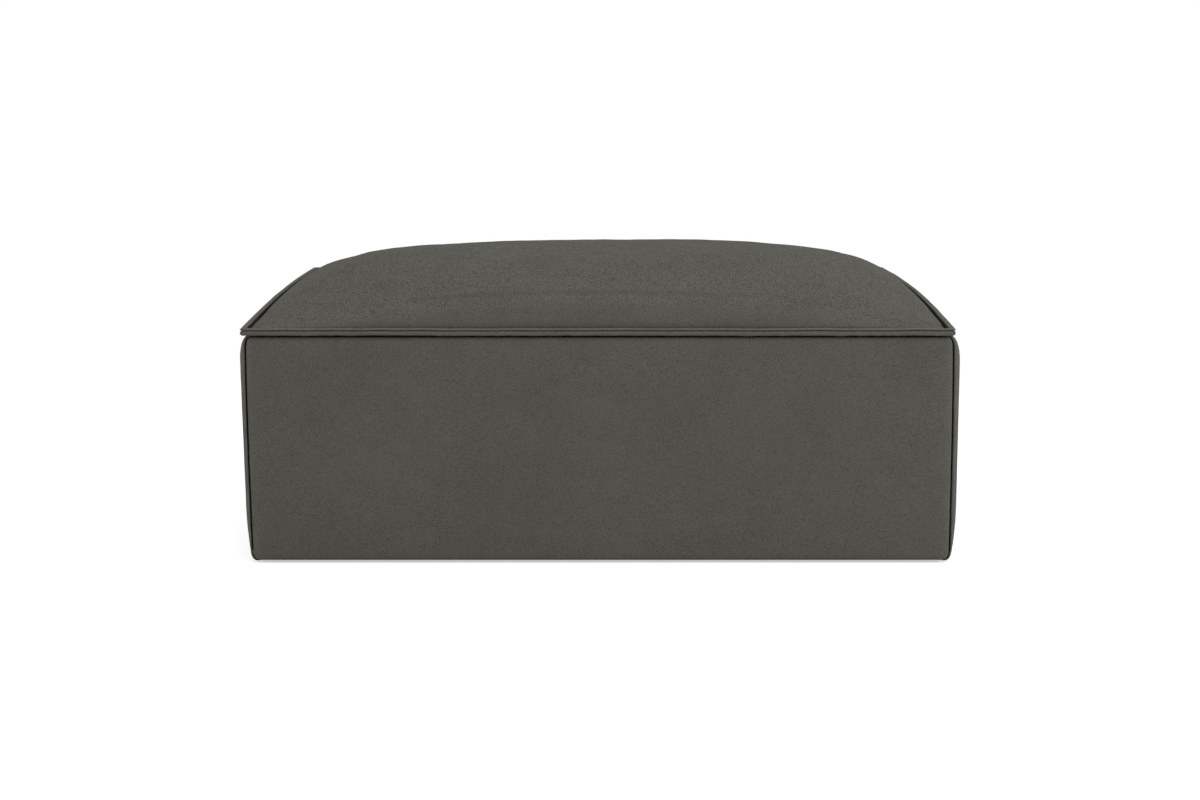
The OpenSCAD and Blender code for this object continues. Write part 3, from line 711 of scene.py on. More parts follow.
def long_face(inset=0.0, turned=True, seed=3):
    """Points of the front cover, row by row, and how much wear and painted highlight each gets."""
    rows, columns = long_rows(inset, turned), long_columns(inset, turned)
    depth, z = rows[:, 0][:, None], rows[:, 1][:, None]
    share, past, sunk = columns[:, 0], columns[:, 1], columns[:, 2]
    turn_in = np.maximum(depth - ROLL_OUT, 0.0)
    edge = seam_x(z) - inset - SEAM_GAP - turn_in - ROLL_X
    x = share * edge + past
    z = np.broadcast_to(z, x.shape)
    fall = np.hypot(depth, sunk)
    to_side = seam_x(z) - inset - np.abs(x)
    to_edge = np.minimum(TOP_Z - inset - z, z - FOOT_Z - inset)
    open_face = unit(to_side / 0.05) * unit(to_edge / 0.04)
    puff = FACE_PUFF * roll(to_side, 0.16) * roll(to_edge, PUFF_RISE)
    uneven = 0.0006 * sway(seed, x, z, 0.16) + 0.00025 * sway(seed + 1, x, z, 0.05)
    pucker = 0.0003 * np.exp(-to_side / 0.012) * sway(seed + 2, z, np.sign(x), 0.03)
    on_face = (depth < ROLL_OUT) * unit(to_edge / ROLL_Z)
    y = -(HALF_D - inset) + fall - (puff + uneven * open_face + pucker) * on_face
    # Wear and a painted highlight on the cloth beside the corner seams, where it rolls round to them
    wear_and_highlight = 0.75 * np.exp(-np.maximum(to_side - 0.002, 0.0) / 0.005)
    wear_and_highlight = wear_and_highlight * (depth < 2 * ROLL_OUT)
    return np.stack([x, y, z], axis=-1), wear_and_highlight


def side_rows(inset, turned):
    """Rows of a side cover: (height, distance turned in), from hem to top flap."""
    low, high = FOOT_Z + 1.5 * inset, TOP_Z - 1.5 * inset
    foot = [(low + PUFF_FOOT * (k / 18) ** 2, 0.0) for k in range(19)]
    middle = [(z, 0.0) for z in np.linspace(low + PUFF_FOOT, high - PUFF_TOP, 26)[1:-1]]
    top = [(high - PUFF_TOP * (k / 9) ** 2, 0.0) for k in range(9, -1, -1)]
    rows = foot + middle + top
    if turned:
        hem = [(low, i) for i in np.linspace(SIDE_HEM_IN, 0.0, 6)[:-1]]
        flap = [(high, i) for i in np.linspace(0.0, FLAP_IN, 4)[1:]]
        rows = hem + rows + flap
    return np.array(rows)


def side_puff(z):
    """How far a side cover stands out past the corner seams, at a height."""
    puff = PUFF_OUT * roll(TOP_Z - z, PUFF_TOP) * roll(z - FOOT_Z, PUFF_FOOT)
    return puff - FOOT_TUCK * (1.0 - roll(z - FOOT_Z, FOOT_TUCK_RUN))


def side_face(inset=0.0, turned=True, seed=11, fullness=1.0):
    """Points of the right cover, row by row from front to back, and how much wear and painted highlight
    each gets.
    """
    rows = side_rows(inset, turned)
    z, turn_in = rows[:, 0][:, None], rows[:, 1][:, None]
    face = HALF_W - inset + fullness * side_puff(z) - turn_in
    seam = np.minimum(seam_x(z) + inset - turn_in, face - 2.0 * SEAM_GAP)
    width = face - seam - SEAM_GAP
    small = np.minimum(0.0022, 0.25 * width)
    lead = 0.0015 + inset
    parts = []
    if turned:
        parts.append((seam + 0.0001, np.full_like(seam, SEAM_DEPTH)))
        parts.append((seam + SEAM_GAP, np.full_like(seam, 0.0062)))
    else:
        parts.append((seam + SEAM_GAP, np.full_like(seam, SEAM_DEPTH + 0.0022)))
    for a in edge_angles(4)[:0:-1]:
        parts.append((seam + SEAM_GAP + small * (1.0 - sin(a)), lead + small * (1.0 - cos(a))))
    for a in edge_angles(12):
        far = (PUFF_RUN - lead) * (1.0 - cos(a))
        parts.append((seam + SEAM_GAP + small + (width - small) * sin(a), lead + far + 0.0 * seam))
    for s in np.linspace(PUFF_RUN, HALF_D, 40)[1:]:
        parts.append((face, np.full_like(seam, s)))
    x = np.concatenate([p[0] for p in parts], axis=1)
    back = np.concatenate([p[1] for p in parts], axis=1)
    x = np.concatenate([x, x[:, -2::-1]], axis=1)
    back = np.concatenate([back, 2.0 * HALF_D - back[:, -2::-1]], axis=1)
    z = np.broadcast_to(z, x.shape)
    near_end = np.minimum(back, 2.0 * HALF_D - back)
    fall = front_depth(z, inset) * unit(1.0 - near_end / PUFF_RUN)
    y = -HALF_D + back + fall * np.sign(HALF_D - back)
    y = y * (HALF_D - turn_in) / HALF_D
    to_edge = np.minimum(TOP_Z - inset - z, z - FOOT_Z - inset)
    open_face = unit((near_end - 0.01) / 0.06) * unit(to_edge / 0.05)
    uneven = 0.0008 * sway(seed, y, z, 0.15) + 0.0003 * sway(seed + 1, y, z, 0.045)
    pull = 0.0002 * np.exp(-near_end / 0.02) * sway(seed + 2, z, np.sign(y), 0.028)
    puff = SIDE_PUFF * roll(near_end, 0.2) * roll(to_edge, PUFF_RISE)
    x = x + (puff + uneven) * open_face + pull * (turn_in == 0.0) * unit(to_edge / 0.02)
    # Wear and a painted highlight near the front and back ends, beside the corner seams
    wear_and_highlight = 0.8 * np.exp(-np.maximum(near_end - 0.004, 0.0) / 0.006)
    return np.stack([x, y, z], axis=-1), wear_and_highlight


def place_turned(points, side):
    """Turns a front piece half round to the back, where side is 1."""
    return points * np.array([-1.0, -1.0, 1.0]) if side > 0 else points


def lean(points):
    """The covers sit a touch to the right of the frame, more so at their foot."""
    share = (points[..., 2] - FOOT_Z) / (TOP_Z - FOOT_Z)
    moved = points.copy()
    moved[..., 0] += ASIDE_FOOT + (ASIDE_TOP - ASIDE_FOOT) * share
    return moved


def cover_panel(name, points, wear_and_highlight, flip=False):
    """One stretched cover of the base, marked for wear and a painted highlight beside its corner seams."""
    panel = make_piece(name + "_panel", lean(points).reshape(-1, 3), sheet_faces(points, flip),
                       cover_cloth, "cover_cloth", "base", [name + "_cover"])
    mark(panel, "wear_and_highlight", wear_and_highlight)
    thicken(panel, CLOTH)


def base_covers():
    """The four covers round the base."""
    for name, side in (("front", -1), ("back", 1)):
        points, wear_and_highlight = long_face(seed=SEEDS[name])
        cover_panel(name, place_turned(points, side), wear_and_highlight)
    for name, side in (("left", -1), ("right", 1)):
        points, wear_and_highlight = side_face(seed=SEEDS[name], fullness=FULLNESS[name])
        cover_panel(name, points * np.array([side, 1.0, 1.0]), wear_and_highlight, flip=side < 0)


def closed_block(grid, back):
    """Points and faces of a padded face closed by a flat back. back is (axis, place)."""
    rows, columns = grid.shape[:2]
    front = grid.reshape(-1, 3)
    rim = border(rows, columns)
    behind = front[rim].copy()
    behind[:, back[0]] = back[1]
    back_rim = len(front) + np.arange(len(rim))
    faces = [*grid_faces(rows, columns), *ring_faces(rim, back_rim, flip=True), back_rim]
    return np.concatenate([front, behind]), faces


def base_padding():
    """The thin foam between the boards and the covers."""
    inset = CLOTH + 0.0004
    back_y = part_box("front_foam")[1].y
    for name, side in (("front", -1), ("back", 1)):
        points, _ = long_face(inset, turned=False, seed=SEEDS[name])
        points[..., 1] += inset
        block, faces = closed_block(lean(place_turned(points, side)), (1, -side * back_y))
        pad(name + "_padding", block, faces, foam, "base", name + "_foam")
    back_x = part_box("right_foam")[0].x
    for name, side in (("left", -1), ("right", 1)):
        points, _ = side_face(inset + 0.0006, turned=False, seed=SEEDS[name], fullness=FULLNESS[name])
        points[..., 1] *= 1.0 - 0.001 / HALF_D
        points = lean(points * np.array([side, 1.0, 1.0]))
        points[..., 0] = side * np.maximum(side * points[..., 0], back_x + 0.0003)
        block, faces = closed_block(points, (0, side * back_x))
        piece = pad(name + "_padding", block, faces, foam, "base", name + "_foam")
        if side < 0:
            piece.data.flip_normals()


# Deck and underside of the base
def flat_sheet(low, high, columns, rows, z, relief):
    """Grid of points over a box's plan. relief(x, y) is added to the height z."""
    x, y = np.meshgrid(np.linspace(low.x, high.x, columns), np.linspace(low.y, high.y, rows))
    return np.stack([x, y, z + relief(x, y)], axis=-1)


def lining(name, node, points, thickness, flip=False):
    """One stretched sheet of black cloth in place of a CAD node."""
    faces = sheet_faces(points, flip)
    cloth = make_piece(name, points.reshape(-1, 3), faces, black_cloth, "black_cloth", "base", [node])
    thicken(cloth, thickness)


def deck():
    """The cloth that the cushion lies on, slack and gathered a little along its hem."""
    low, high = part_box("deck_cloth")

    def slack(x, y):
        to_edge = np.minimum(high.x - abs(x), high.y - abs(y))
        sag = -0.0012 * roll(to_edge, 0.2) + 0.0007 * sway(32, x, y, 0.12) * roll(to_edge, 0.05)
        gather = 0.0006 * np.exp(-to_edge / 0.03) * sway(31, x, y, 0.03)
        return sag + gather - 0.0004

    points = flat_sheet(low, high, 150, 110, high.z, slack)
    lining("deck_lining", "deck_cloth", points, 0.0009)


def deck_filling():
    """The lumpy wadding under the deck cloth, and the cloth that keeps it off the springs."""
    low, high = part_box("deck_pad")
    points = flat_sheet(low, high, 90, 64, high.z, lambda x, y: -0.003 + 0.0009 * sway(35, x, y, 0.06))
    block, faces = closed_block(points, (2, low.z + 0.0002))
    pad("deck_wadding", block, faces, fibre, "base", "deck_pad")
    low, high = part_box("spring_cloth")

    def ribs(x, y):
        return -0.0001 + 0.00008 * np.sin(tau * x / 0.126)

    points = flat_sheet(low, high, 120, 40, high.z, ribs)
    lining("spring_lining", "spring_cloth", points, 0.0006)


def dust_cover():
    """The cloth stapled under the base, sagging a little."""
    low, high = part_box("dust_cover")

    def drape(x, y):
        to_edge = np.minimum(high.x - abs(x), high.y - abs(y))
        sag = -0.0009 * roll(np.maximum(to_edge - 0.03, 0.0), 0.2)
        return sag + 0.0004 * sway(41, x, y, 0.1) * roll(to_edge, 0.08)

    points = flat_sheet(low, high, 130, 92, low.z + 0.0003, drape)
    lining("bottom_lining", "dust_cover", points, 0.0005, flip=True)


# Cushion
def plan(u, v, inset=0.0):
    """Place on the cushion's plan. u and v run from -1 to 1 over its width and depth."""
    pull = CORNER_PULL * np.abs(u * v) ** 60
    bow = (SIDE_BOW + BOW_RIGHT * (np.asarray(u) > 0.0)) * (1.0 - v * v) * (1.0 + BOW_BACK * v)
    x = CUSHION_ASIDE + u * (CUSHION_X - inset + bow - pull)
    y = v * (CUSHION_Y - inset - pull)
    return x, y


def crown(u, v):
    """Height of the crown over its foot."""
    dx = (1.0 - np.abs(u)) * CUSHION_X
    front, back = (1.0 + v) * CUSHION_Y, (1.0 - v) * CUSHION_Y
    dy = np.minimum(front, back)
    corners = sum(np.exp(-(dx * dx + far * far) / CORNER_RUN**2) for far in (front, back))
    fallen = 1.0 - CORNER_DROP * corners
    climb = 1.0 - (1.0 - unit(dx / SIDE_RUN)) ** SIDE_POWER
    edge = EDGE_RISE * climb * roll(dy, ROLL_RUN, ROLL_POWER) * fallen
    middle = (CROWN_RISE + FULLER_RIGHT * u) * (1.0 - np.abs(u) ** WIDTH_POWER)
    middle = middle * (1.0 - np.abs(v) ** DEPTH_POWER)
    return edge + middle


def bent(n, power=1.6):
    """n values from -1 to 1, closer together towards both ends."""
    t = np.linspace(-1.0, 1.0, n)
    return np.sign(t) * (1.0 - (1.0 - np.abs(t)) ** power)


def ramp(distance, start, end):
    """Goes smoothly from 0 at one distance to 1 at another."""
    share = unit((distance - start) / (end - start))
    return share * share * (3.0 - 2.0 * share)


def crowned(inset, foot, share, columns=120, rows=90, ease=0.0, from_side=0.0, from_front=0.0):
    """Grid of a crowned sheet. share scales its height, ease lowers it some way in from the edges."""
    u, v = np.meshgrid(bent(columns), bent(rows))
    x, y = plan(u, v, inset)
    open_x = ramp((1.0 - np.abs(u)) * CUSHION_X, from_side, from_side + 0.1)
    open_y = ramp((1.0 - np.abs(v)) * CUSHION_Y, from_front, from_front + 0.04)
    z = foot + share * crown(u, v) - ease * open_x * open_y
    return np.stack([x, y, z], axis=-1)


def swell(form, cap, held_below):
    """Lets the form swell as stuffed cloth does, as full as it gets. No point moves more than cap."""
    remesh = form.modifiers.new("even mesh", "REMESH")
    remesh.mode = "VOXEL"
    remesh.voxel_size = VOXEL
    bake_down(form)
    points = read_points(form)
    held = form.vertex_groups.new(name="held")
    held.add([int(i) for i in np.nonzero(points[:, 2] < held_below)[0]], 1.0, "REPLACE")
    cloth = form.modifiers.new("stuffed", "CLOTH")
    settings = cloth.settings
    settings.quality = 5
    settings.mass = 0.3
    settings.use_pressure = True
    settings.uniform_pressure_force = 4.0
    settings.effector_weights.gravity = 0.0
    settings.vertex_group_mass = "held"
    settings.tension_stiffness = 12.0
    settings.bending_stiffness = 0.3
    cloth.point_cache.frame_start = 1
    cloth.point_cache.frame_end = FRAMES
    scene = bpy.context.scene
    travel = np.zeros_like(points)
    moved = np.zeros(len(points) * 3, np.float32)
    for step in range(1, FRAMES + 1):
        scene.frame_set(step)
        seen = form.evaluated_get(bpy.context.evaluated_depsgraph_get())
        seen.data.vertices.foreach_get("co", moved)
        now = moved.reshape(-1, 3) - points
        further = np.linalg.norm(now, axis=1) > np.linalg.norm(travel, axis=1)
        travel[further] = now[further]
    travel[:, :2] *= SIDEWAYS
    travel[:, 2] = np.maximum(travel[:, 2], -0.0005)
    far = np.linalg.norm(travel, axis=1)
    points = points + travel * np.minimum(1.0, cap / np.maximum(far, 1e-9))[:, None]
    form.modifiers.remove(cloth)
    write_points(form, points)
    scene.frame_set(1)


def read_points(piece):
    """A mesh piece's points, one row each."""
    points = np.zeros(len(piece.data.vertices) * 3, np.float32)
    piece.data.vertices.foreach_get("co", points)
    return points.reshape(-1, 3).astype(float)


def write_points(piece, points):
    """Moves a mesh piece's points to new places."""
    piece.data.vertices.foreach_set("co", points.astype(np.float32).ravel())
    piece.data.update()


def bake_down(piece):
    """Applies every modifier on the piece to its mesh."""
    seen = piece.evaluated_get(bpy.context.evaluated_depsgraph_get())
    mesh = bpy.data.meshes.new_from_object(seen)
    old = piece.data
    piece.modifiers.clear()
    piece.data = mesh
    bpy.data.meshes.remove(old)


def rework(piece, change):
    """Changes a piece's mesh by a function of its bmesh."""
    shape = bmesh.new()
    shape.from_mesh(piece.data)
    change(shape)
    shape.to_mesh(piece.data)
    shape.free()


def cut_below(piece, z):
    """Takes off what lies below a height and leaves an open rim there."""
    def cut(shape):
        everything = shape.verts[:] + shape.edges[:] + shape.faces[:]
        bmesh.ops.bisect_plane(shape, geom=everything, plane_co=(0.0, 0.0, z), plane_no=(0.0, 0.0, 1.0),
                               clear_outer=False, clear_inner=True, dist=1e-5)

    rework(piece, cut)


def close_rim(piece):
    """Closes the open rim with one flat face, which a subdivision would be stuck on for minutes."""
    def close(shape):
        bmesh.ops.contextual_create(shape, geom=[edge for edge in shape.edges if edge.is_boundary])

    rework(piece, close)


def stuffed_crown():
    """The cushion's crowned top, swollen by its filling, with a short skirt down behind the hem.

    The simulation works on a longer skirt, which is cut off afterwards.
    """
    skirt = LONG_SKIRT
    ease = SWELLING
    grid = crowned(CROWN_IN, CROWN_FOOT, 1.0, ease=ease, from_side=0.1, from_front=0.045)
    crown_piece = bare_piece("seat_cushion", *closed_block(grid, (2, CROWN_FOOT - skirt)))
    swell(crown_piece, SWELLING, CROWN_FOOT + 0.003)
    cut_below(crown_piece, CROWN_FOOT - SKIRT)
    finer = crown_piece.modifiers.new("finer", "SUBSURF")
    finer.levels = 1
    finer.render_levels = 1
    bake_down(crown_piece)
    close_rim(crown_piece)
    points = read_points(crown_piece)
    x, y, z = points.T
    to_edge = np.minimum(CUSHION_X + SIDE_BOW * (1.0 - (y / CUSHION_Y) ** 2) - abs(x), CUSHION_Y - abs(y))
    above = unit((z - CROWN_FOOT) / 0.01)
    open_field = above * ramp(to_edge, 0.0, 0.08)
    points[:, 2] += open_field * (0.0009 * sway(51, x, y, 0.17) + 0.0003 * sway(52, x, y, 0.06))
    points[:, 1] -= np.sign(y) * above * np.exp(-to_edge / 0.02) * 0.0005 * sway(53, x, z, 0.05)
    write_points(crown_piece, points)
    to_side = CUSHION_X + SIDE_BOW - abs(x)
    # Wear and a painted highlight along the crown's edges, most near the sides
    wear_and_highlight = 0.9 * np.exp(-np.maximum(to_edge - CROWN_IN, 0.0) / 0.005) * np.exp(-to_side / 0.05)
    dress(crown_piece, crown_cloth, "cushion", ["cushion_top_cover"])
    mark(crown_piece, "wear_and_highlight", wear_and_highlight)
    # Painted shade at the crown's foot, down in the groove by the hem, darkest along the sides
    at_side = ramp(CUSHION_Y - abs(y) - to_edge, 0.0, 0.004)
    low_down = np.exp(-np.maximum(z - CROWN_FOOT - 0.001, 0.0) / 0.0016)
    close_in = np.exp(-np.maximum(to_edge - CROWN_IN, 0.0) / 0.003)
    mark(crown_piece, "painted_seam_shade", (0.35 + 0.6 * at_side) * low_down * close_in)


def rim_line(n_long=190, n_short=140, end=1.0):
    """u and v round the cushion's rim, counterclockwise from the front left corner."""
    long_side, short_side = bent(n_long), bent(n_short)
    sides = [
        [(u, -end) for u in long_side[:-1]],
        [(end, v) for v in short_side[:-1]],
        [(u, end) for u in long_side[:0:-1]],
        [(-end, v) for v in short_side[:0:-1]],
    ]
    return np.array(sum(sides, []))


def sweep(line, section, wave):
    """Rows of points round a rim line, one per point of the section (inset, height)."""
    u, v = line[:, 0], line[:, 1]
    rows = []
    for k, (inset, z) in enumerate(section):
        x, y = plan(u, v, inset)
        rows.append(np.stack([x, y, z + wave(x, y, k)], axis=-1))
    return np.stack(rows)


def flange():
    """The hem sewn round the top cover, and the stitched groove inside it."""
    def wave(x, y, _):
        return 0.0003 * sway(61, x, y, 0.09)

    section = [(inset, FLANGE_Z + height) for inset, height in HEM_SECTION]
    rows = sweep(rim_line(), section, wave)
    n, count = rows.shape[:2]
    index = np.arange(n * count).reshape(n, count)
    faces = np.concatenate([ring_faces(index[k], index[(k + 1) % n], flip=True) for k in range(n)])
    hem = make_piece("cushion_flange", rows.reshape(-1, 3), faces, cover_cloth, "cover_cloth", "cushion")
    inset, height = np.array(HEM_SECTION).T
    # The hem's lip: wear and a painted highlight, more towards its top; its inner wall: painted shade down
    # in the groove
    mark(hem, "wear_and_highlight", np.repeat(np.where(inset < HEM_HIGHLIGHT_TO_SHADE, 0.35 + 0.5 * height / FLANGE_T, 0.0), count))
    mark(hem, "painted_seam_shade", np.repeat(np.where(inset > HEM_HIGHLIGHT_TO_SHADE, 0.95, 0.0), count))


def band_section(width, low, high):
    """Rounded section of the rolled band: (inset, height) from its outer edge."""
    points = []
    for a in np.linspace(0.0, tau, 17)[:-1]:
        c, s = cos(a), sin(a)
        inset = width / 2 * (1.0 - copysign(abs(c) ** 0.75, c))
        points.append((inset, (low + high) / 2 + (high - low) / 2 * copysign(abs(s) ** 0.75, s)))
    return points


def lower_bands():
    """The rolled band under the flange, four strips that meet in short corner seams."""
    low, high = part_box("cushion_band_front")
    section = band_section(BAND_WIDTH, low.z, high.z)

    def wave(x, y, k):
        under = unit((low.z + high.z) / 2 - section[k][1]) / (high.z - low.z) * 2.0
        hang = 0.0003 * sway(71, x, y, 0.03) + 0.0003 * np.sin(tau * (x + y) / 0.0052) - 0.0013
        return under * hang + 0.0003 * sway(61, x, y, 0.09)

    long_side = bent(230) * (1.0 - BAND_GAP / CUSHION_X)
    short_side = bent(180) * (1.0 - BAND_GAP / CUSHION_Y)
    lines = {
        "front": [(u, -1.0) for u in long_side],
        "right": [(1.0, v) for v in short_side],
        "back": [(-u, 1.0) for u in long_side],
        "left": [(-1.0, -v) for v in short_side],
    }
    inset, height = np.array(section).T
    # Wear and a painted highlight towards the band's top; painted shade on its inner part, under the flange
    wear_and_highlight = 0.2 + 0.5 * ((height - low.z) / (high.z - low.z)) ** 2
    painted_seam_shade = ramp(inset, 0.006, 0.0085)
    for name, line in lines.items():
        rows = sweep(np.array(line), section, wave)
        n, count = rows.shape[:2]
        faces = tube_faces(np.arange(n * count).reshape(n, count).T, flip=True)
        band = make_piece("band_" + name, rows.reshape(-1, 3), faces, cover_cloth, "cover_cloth", "cushion",
                          ["cushion_band_" + name])
        mark(band, "wear_and_highlight", np.repeat(wear_and_highlight, count))
        mark(band, "painted_seam_shade", np.repeat(painted_seam_shade, count))


def faces_round_slot(points, rows, columns, y_low, y_high, reach, flip=False):
    """The faces of a grid without those in a slot along x, up to reach to each side."""
    faces = []
    for face in grid_faces(rows, columns, flip=flip):
        x, y, _ = points[face].mean(axis=0)
        if not (y_low < y < y_high and abs(x) < reach):
            faces.append(face)
    return faces


def cushion_underside():
    """The bottom cover, with the slot for its zip."""
    slider_low, slider_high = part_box("zip_slider")
    zip_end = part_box("zip_stringers")[1].x
    slot_half = (slider_high.y - slider_low.y) / 2 + 0.00025
    zip_y = (slider_high.y + slider_low.y) / 2
    y_low, y_high = zip_y - slot_half, zip_y + slot_half
    cuts = [y_low / (CUSHION_Y - UNDERSIDE_IN), y_high / (CUSHION_Y - UNDERSIDE_IN)]
    wide = zip_end / (CUSHION_X - UNDERSIDE_IN + SIDE_BOW * (1.0 - (zip_y / CUSHION_Y) ** 2))
    us = np.unique(np.concatenate([np.linspace(-1.0, 1.0, 121), [-wide, wide]]))
    vs = np.unique(np.concatenate([np.linspace(-1.0, 1.0, 91), cuts]))
    u, v = np.meshgrid(us, vs)
    x, y = plan(u, v, UNDERSIDE_IN)
    to_slot = np.maximum(np.abs(y - zip_y) - slot_half, 0.0)
    drop = 0.0003 * sway(81, x, y, 0.09) * unit(to_slot / 0.02)
    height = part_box("cushion_bottom_cover")[0].z + drop
    points = np.stack([x, y, height], axis=-1).reshape(-1, 3)
    faces = faces_round_slot(points, len(vs), len(us), y_low, y_high, zip_end, flip=True)
    cloth = make_piece("cushion_underside", points, faces, cover_cloth, "cover_cloth", "cushion",
                       ["cushion_bottom_cover"])
    thicken(cloth, CLOTH)


def cushion_wadding():
    """The fibre shell over the foam core."""
    fibre_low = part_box("cushion_wadding")[0]
    foam_low, foam_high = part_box("cushion_foam")
    columns, rows = 70, 52
    outer = crowned(FIBRE_IN, CROWN_FOOT - 0.0015, 1.0, columns, rows, ease=0.011)
    outer[..., 2] = np.maximum(outer[..., 2], fibre_low.z + 0.0008)
    outer[..., 2] += 0.0008 * sway(91, outer[..., 0], outer[..., 1], 0.05)
    share = (foam_high.z + 0.0006 - foam_low.z) / (EDGE_RISE + CROWN_RISE) - 0.07
    inner = crowned(FOAM_IN, foam_low.z + 0.0004, share, columns, rows)
    n = columns * rows
    rim_out, rim_in = border(rows, columns), border(rows, columns, n)
    foot = outer.reshape(-1, 3)[rim_out].copy()
    foot[:, 2] = fibre_low.z
    foot_rim = 2 * n + np.arange(len(rim_out))
    faces = [grid_faces(rows, columns), grid_faces(rows, columns, n, flip=True),
             ring_faces(rim_out, foot_rim, flip=True), ring_faces(foot_rim, rim_in, flip=True)]
    points = np.concatenate([outer.reshape(-1, 3), inner.reshape(-1, 3), foot])
    pad("cushion_fibre", points, np.concatenate(faces), fibre, "cushion", "cushion_wadding")


def cushion_core():
    """The foam in the middle of the cushion."""
    low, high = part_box("cushion_foam")
    share = (high.z - low.z) / (EDGE_RISE + CROWN_RISE) - 0.08
    grid = crowned(FOAM_IN + 0.0005, low.z + 0.0002, share, 70, 52)
    block, faces = closed_block(grid, (2, low.z))
    pad("cushion_core", block, faces, foam, "cushion", "cushion_foam")


def cushion_base_sheet():
    """The sheet of fibre under the core, open over the zip."""
    low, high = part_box("cushion_base_pad")
    zip_low, zip_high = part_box("zip_stringers")
    y_low, y_high = zip_low.y - 0.0005, zip_high.y + 0.0005
    cuts = [y_low / (CUSHION_Y - FIBRE_IN), y_high / (CUSHION_Y - FIBRE_IN)]
    slot_end = 0.63
    us = np.unique(np.concatenate([np.linspace(-1.0, 1.0, 60), [-slot_end, slot_end]]))
    vs = np.unique(np.concatenate([np.linspace(-1.0, 1.0, 44), cuts]))
    u, v = np.meshgrid(us, vs)
    x, y = plan(u, v, FIBRE_IN)
    points = np.stack([x, y, high.z - 0.0002 + 0.0 * x], axis=-1).reshape(-1, 3)
    faces = faces_round_slot(points, len(vs), len(us), y_low, y_high, zip_high.x)
    sheet = pad("cushion_base_fibre", points, faces, fibre, "cushion", "cushion_base_pad")
    thicken(sheet, high.z - low.z - 0.0004)


# Strips, zip and stitches
def soft_tape(name, node, body, face_up):
    """One hook or loop strip with softly rounded ends and a fuzzy face."""
    low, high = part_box(node)
    radius = 0.004
    x0, x1, y0, y1 = low.x + radius, high.x - radius, low.y + radius, high.y - radius
    outline = []
    for quarter, (cx, cy) in enumerate(((x1, y1), (x0, y1), (x0, y0), (x1, y0))):
        for a in np.linspace(quarter * pi / 2, (quarter + 1) * pi / 2, 6):
            outline.append((cx + radius * cos(a), cy + radius * sin(a)))
    outline = np.array(outline)
    middle = np.array([(low.x + high.x) / 2, (low.y + high.y) / 2])
    rows = []
    for shrink, z in ((0.0, 0.0), (0.0, 0.6), (0.02, 0.85), (0.06, 1.0)):
        size = np.array([1.0 - shrink, 1.0 - shrink * (high.x - low.x) / (high.y - low.y)])
        ring = middle + (outline - middle) * size
        height = low.z + (high.z - low.z) * z if face_up else high.z - (high.z - low.z) * z
        rows.append(np.column_stack([ring, np.full(len(ring), height)]))
    index = np.arange(len(rows) * len(outline)).reshape(len(rows), -1)
    faces = tube_faces(index, flip=not face_up)
    make_piece(name, np.concatenate(rows), faces, hook_tape, "strip_plastic", body, [node])


def zip_tapes():
    """Two woven tapes, one to each side of the slot."""
    low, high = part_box("zip_stringers")
    zip_y = (low.y + high.y) / 2
    near, far = Vector((low.x, 0.0005, 0.0)), Vector((high.x, high.y - zip_y, 0.0))
    tape_low, tape_high = high.z - 0.0013, high.z - 0.0005

    def ripple(x, y):
        return -0.0001 + 0.00008 * np.sin(tau * x / 0.02)

    tapes = []
    for side in (-1, 1):
        block, faces = closed_block(flat_sheet(near, far, 90, 8, tape_high, ripple), (2, tape_low))
        block[:, 1] = side * block[:, 1] + zip_y
        tapes.append((block, [face[::side] for face in faces]))
    make_piece("zip_tapes", *joined(tapes), zip_tape, "zip_tape", "cushion", ["zip_stringers"])


def zip_coils():
    """A row of nylon coil along each tape."""
    low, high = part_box("zip_stringers")
    zip_y = (low.y + high.y) / 2
    wire, turns, per_turn, sides = 0.00028, 440, 8, 5
    reach = 0.32
    turn = np.arange(turns * per_turn + 1) * tau / per_turn
    faces = tube_faces(np.arange(len(turn) * sides).reshape(-1, sides))
    coils = []
    for side in (-1, 1):
        centre = np.column_stack([
            -reach + 2 * reach * turn / turn[-1],
            zip_y + side * 0.0016 + 0.0008 * np.cos(turn),
            low.z + 0.0009 + 0.0006 * np.sin(turn),
        ])
        along = np.gradient(centre, axis=0)
        along /= np.linalg.norm(along, axis=1)[:, None]
        up = np.cross(along, np.array([1.0, 0.0, 0.0]))
        up /= np.linalg.norm(up, axis=1)[:, None]
        out = np.cross(along, up)
        ring = [centre + wire * (cos(a) * up + sin(a) * out)
                for a in np.linspace(0.0, tau, sides + 1)[:-1]]
        coils.append((np.stack(ring, axis=1).reshape(-1, 3), faces))
    make_piece("zip_coils", *joined(coils), coil_nylon, "zip_tape", "cushion")


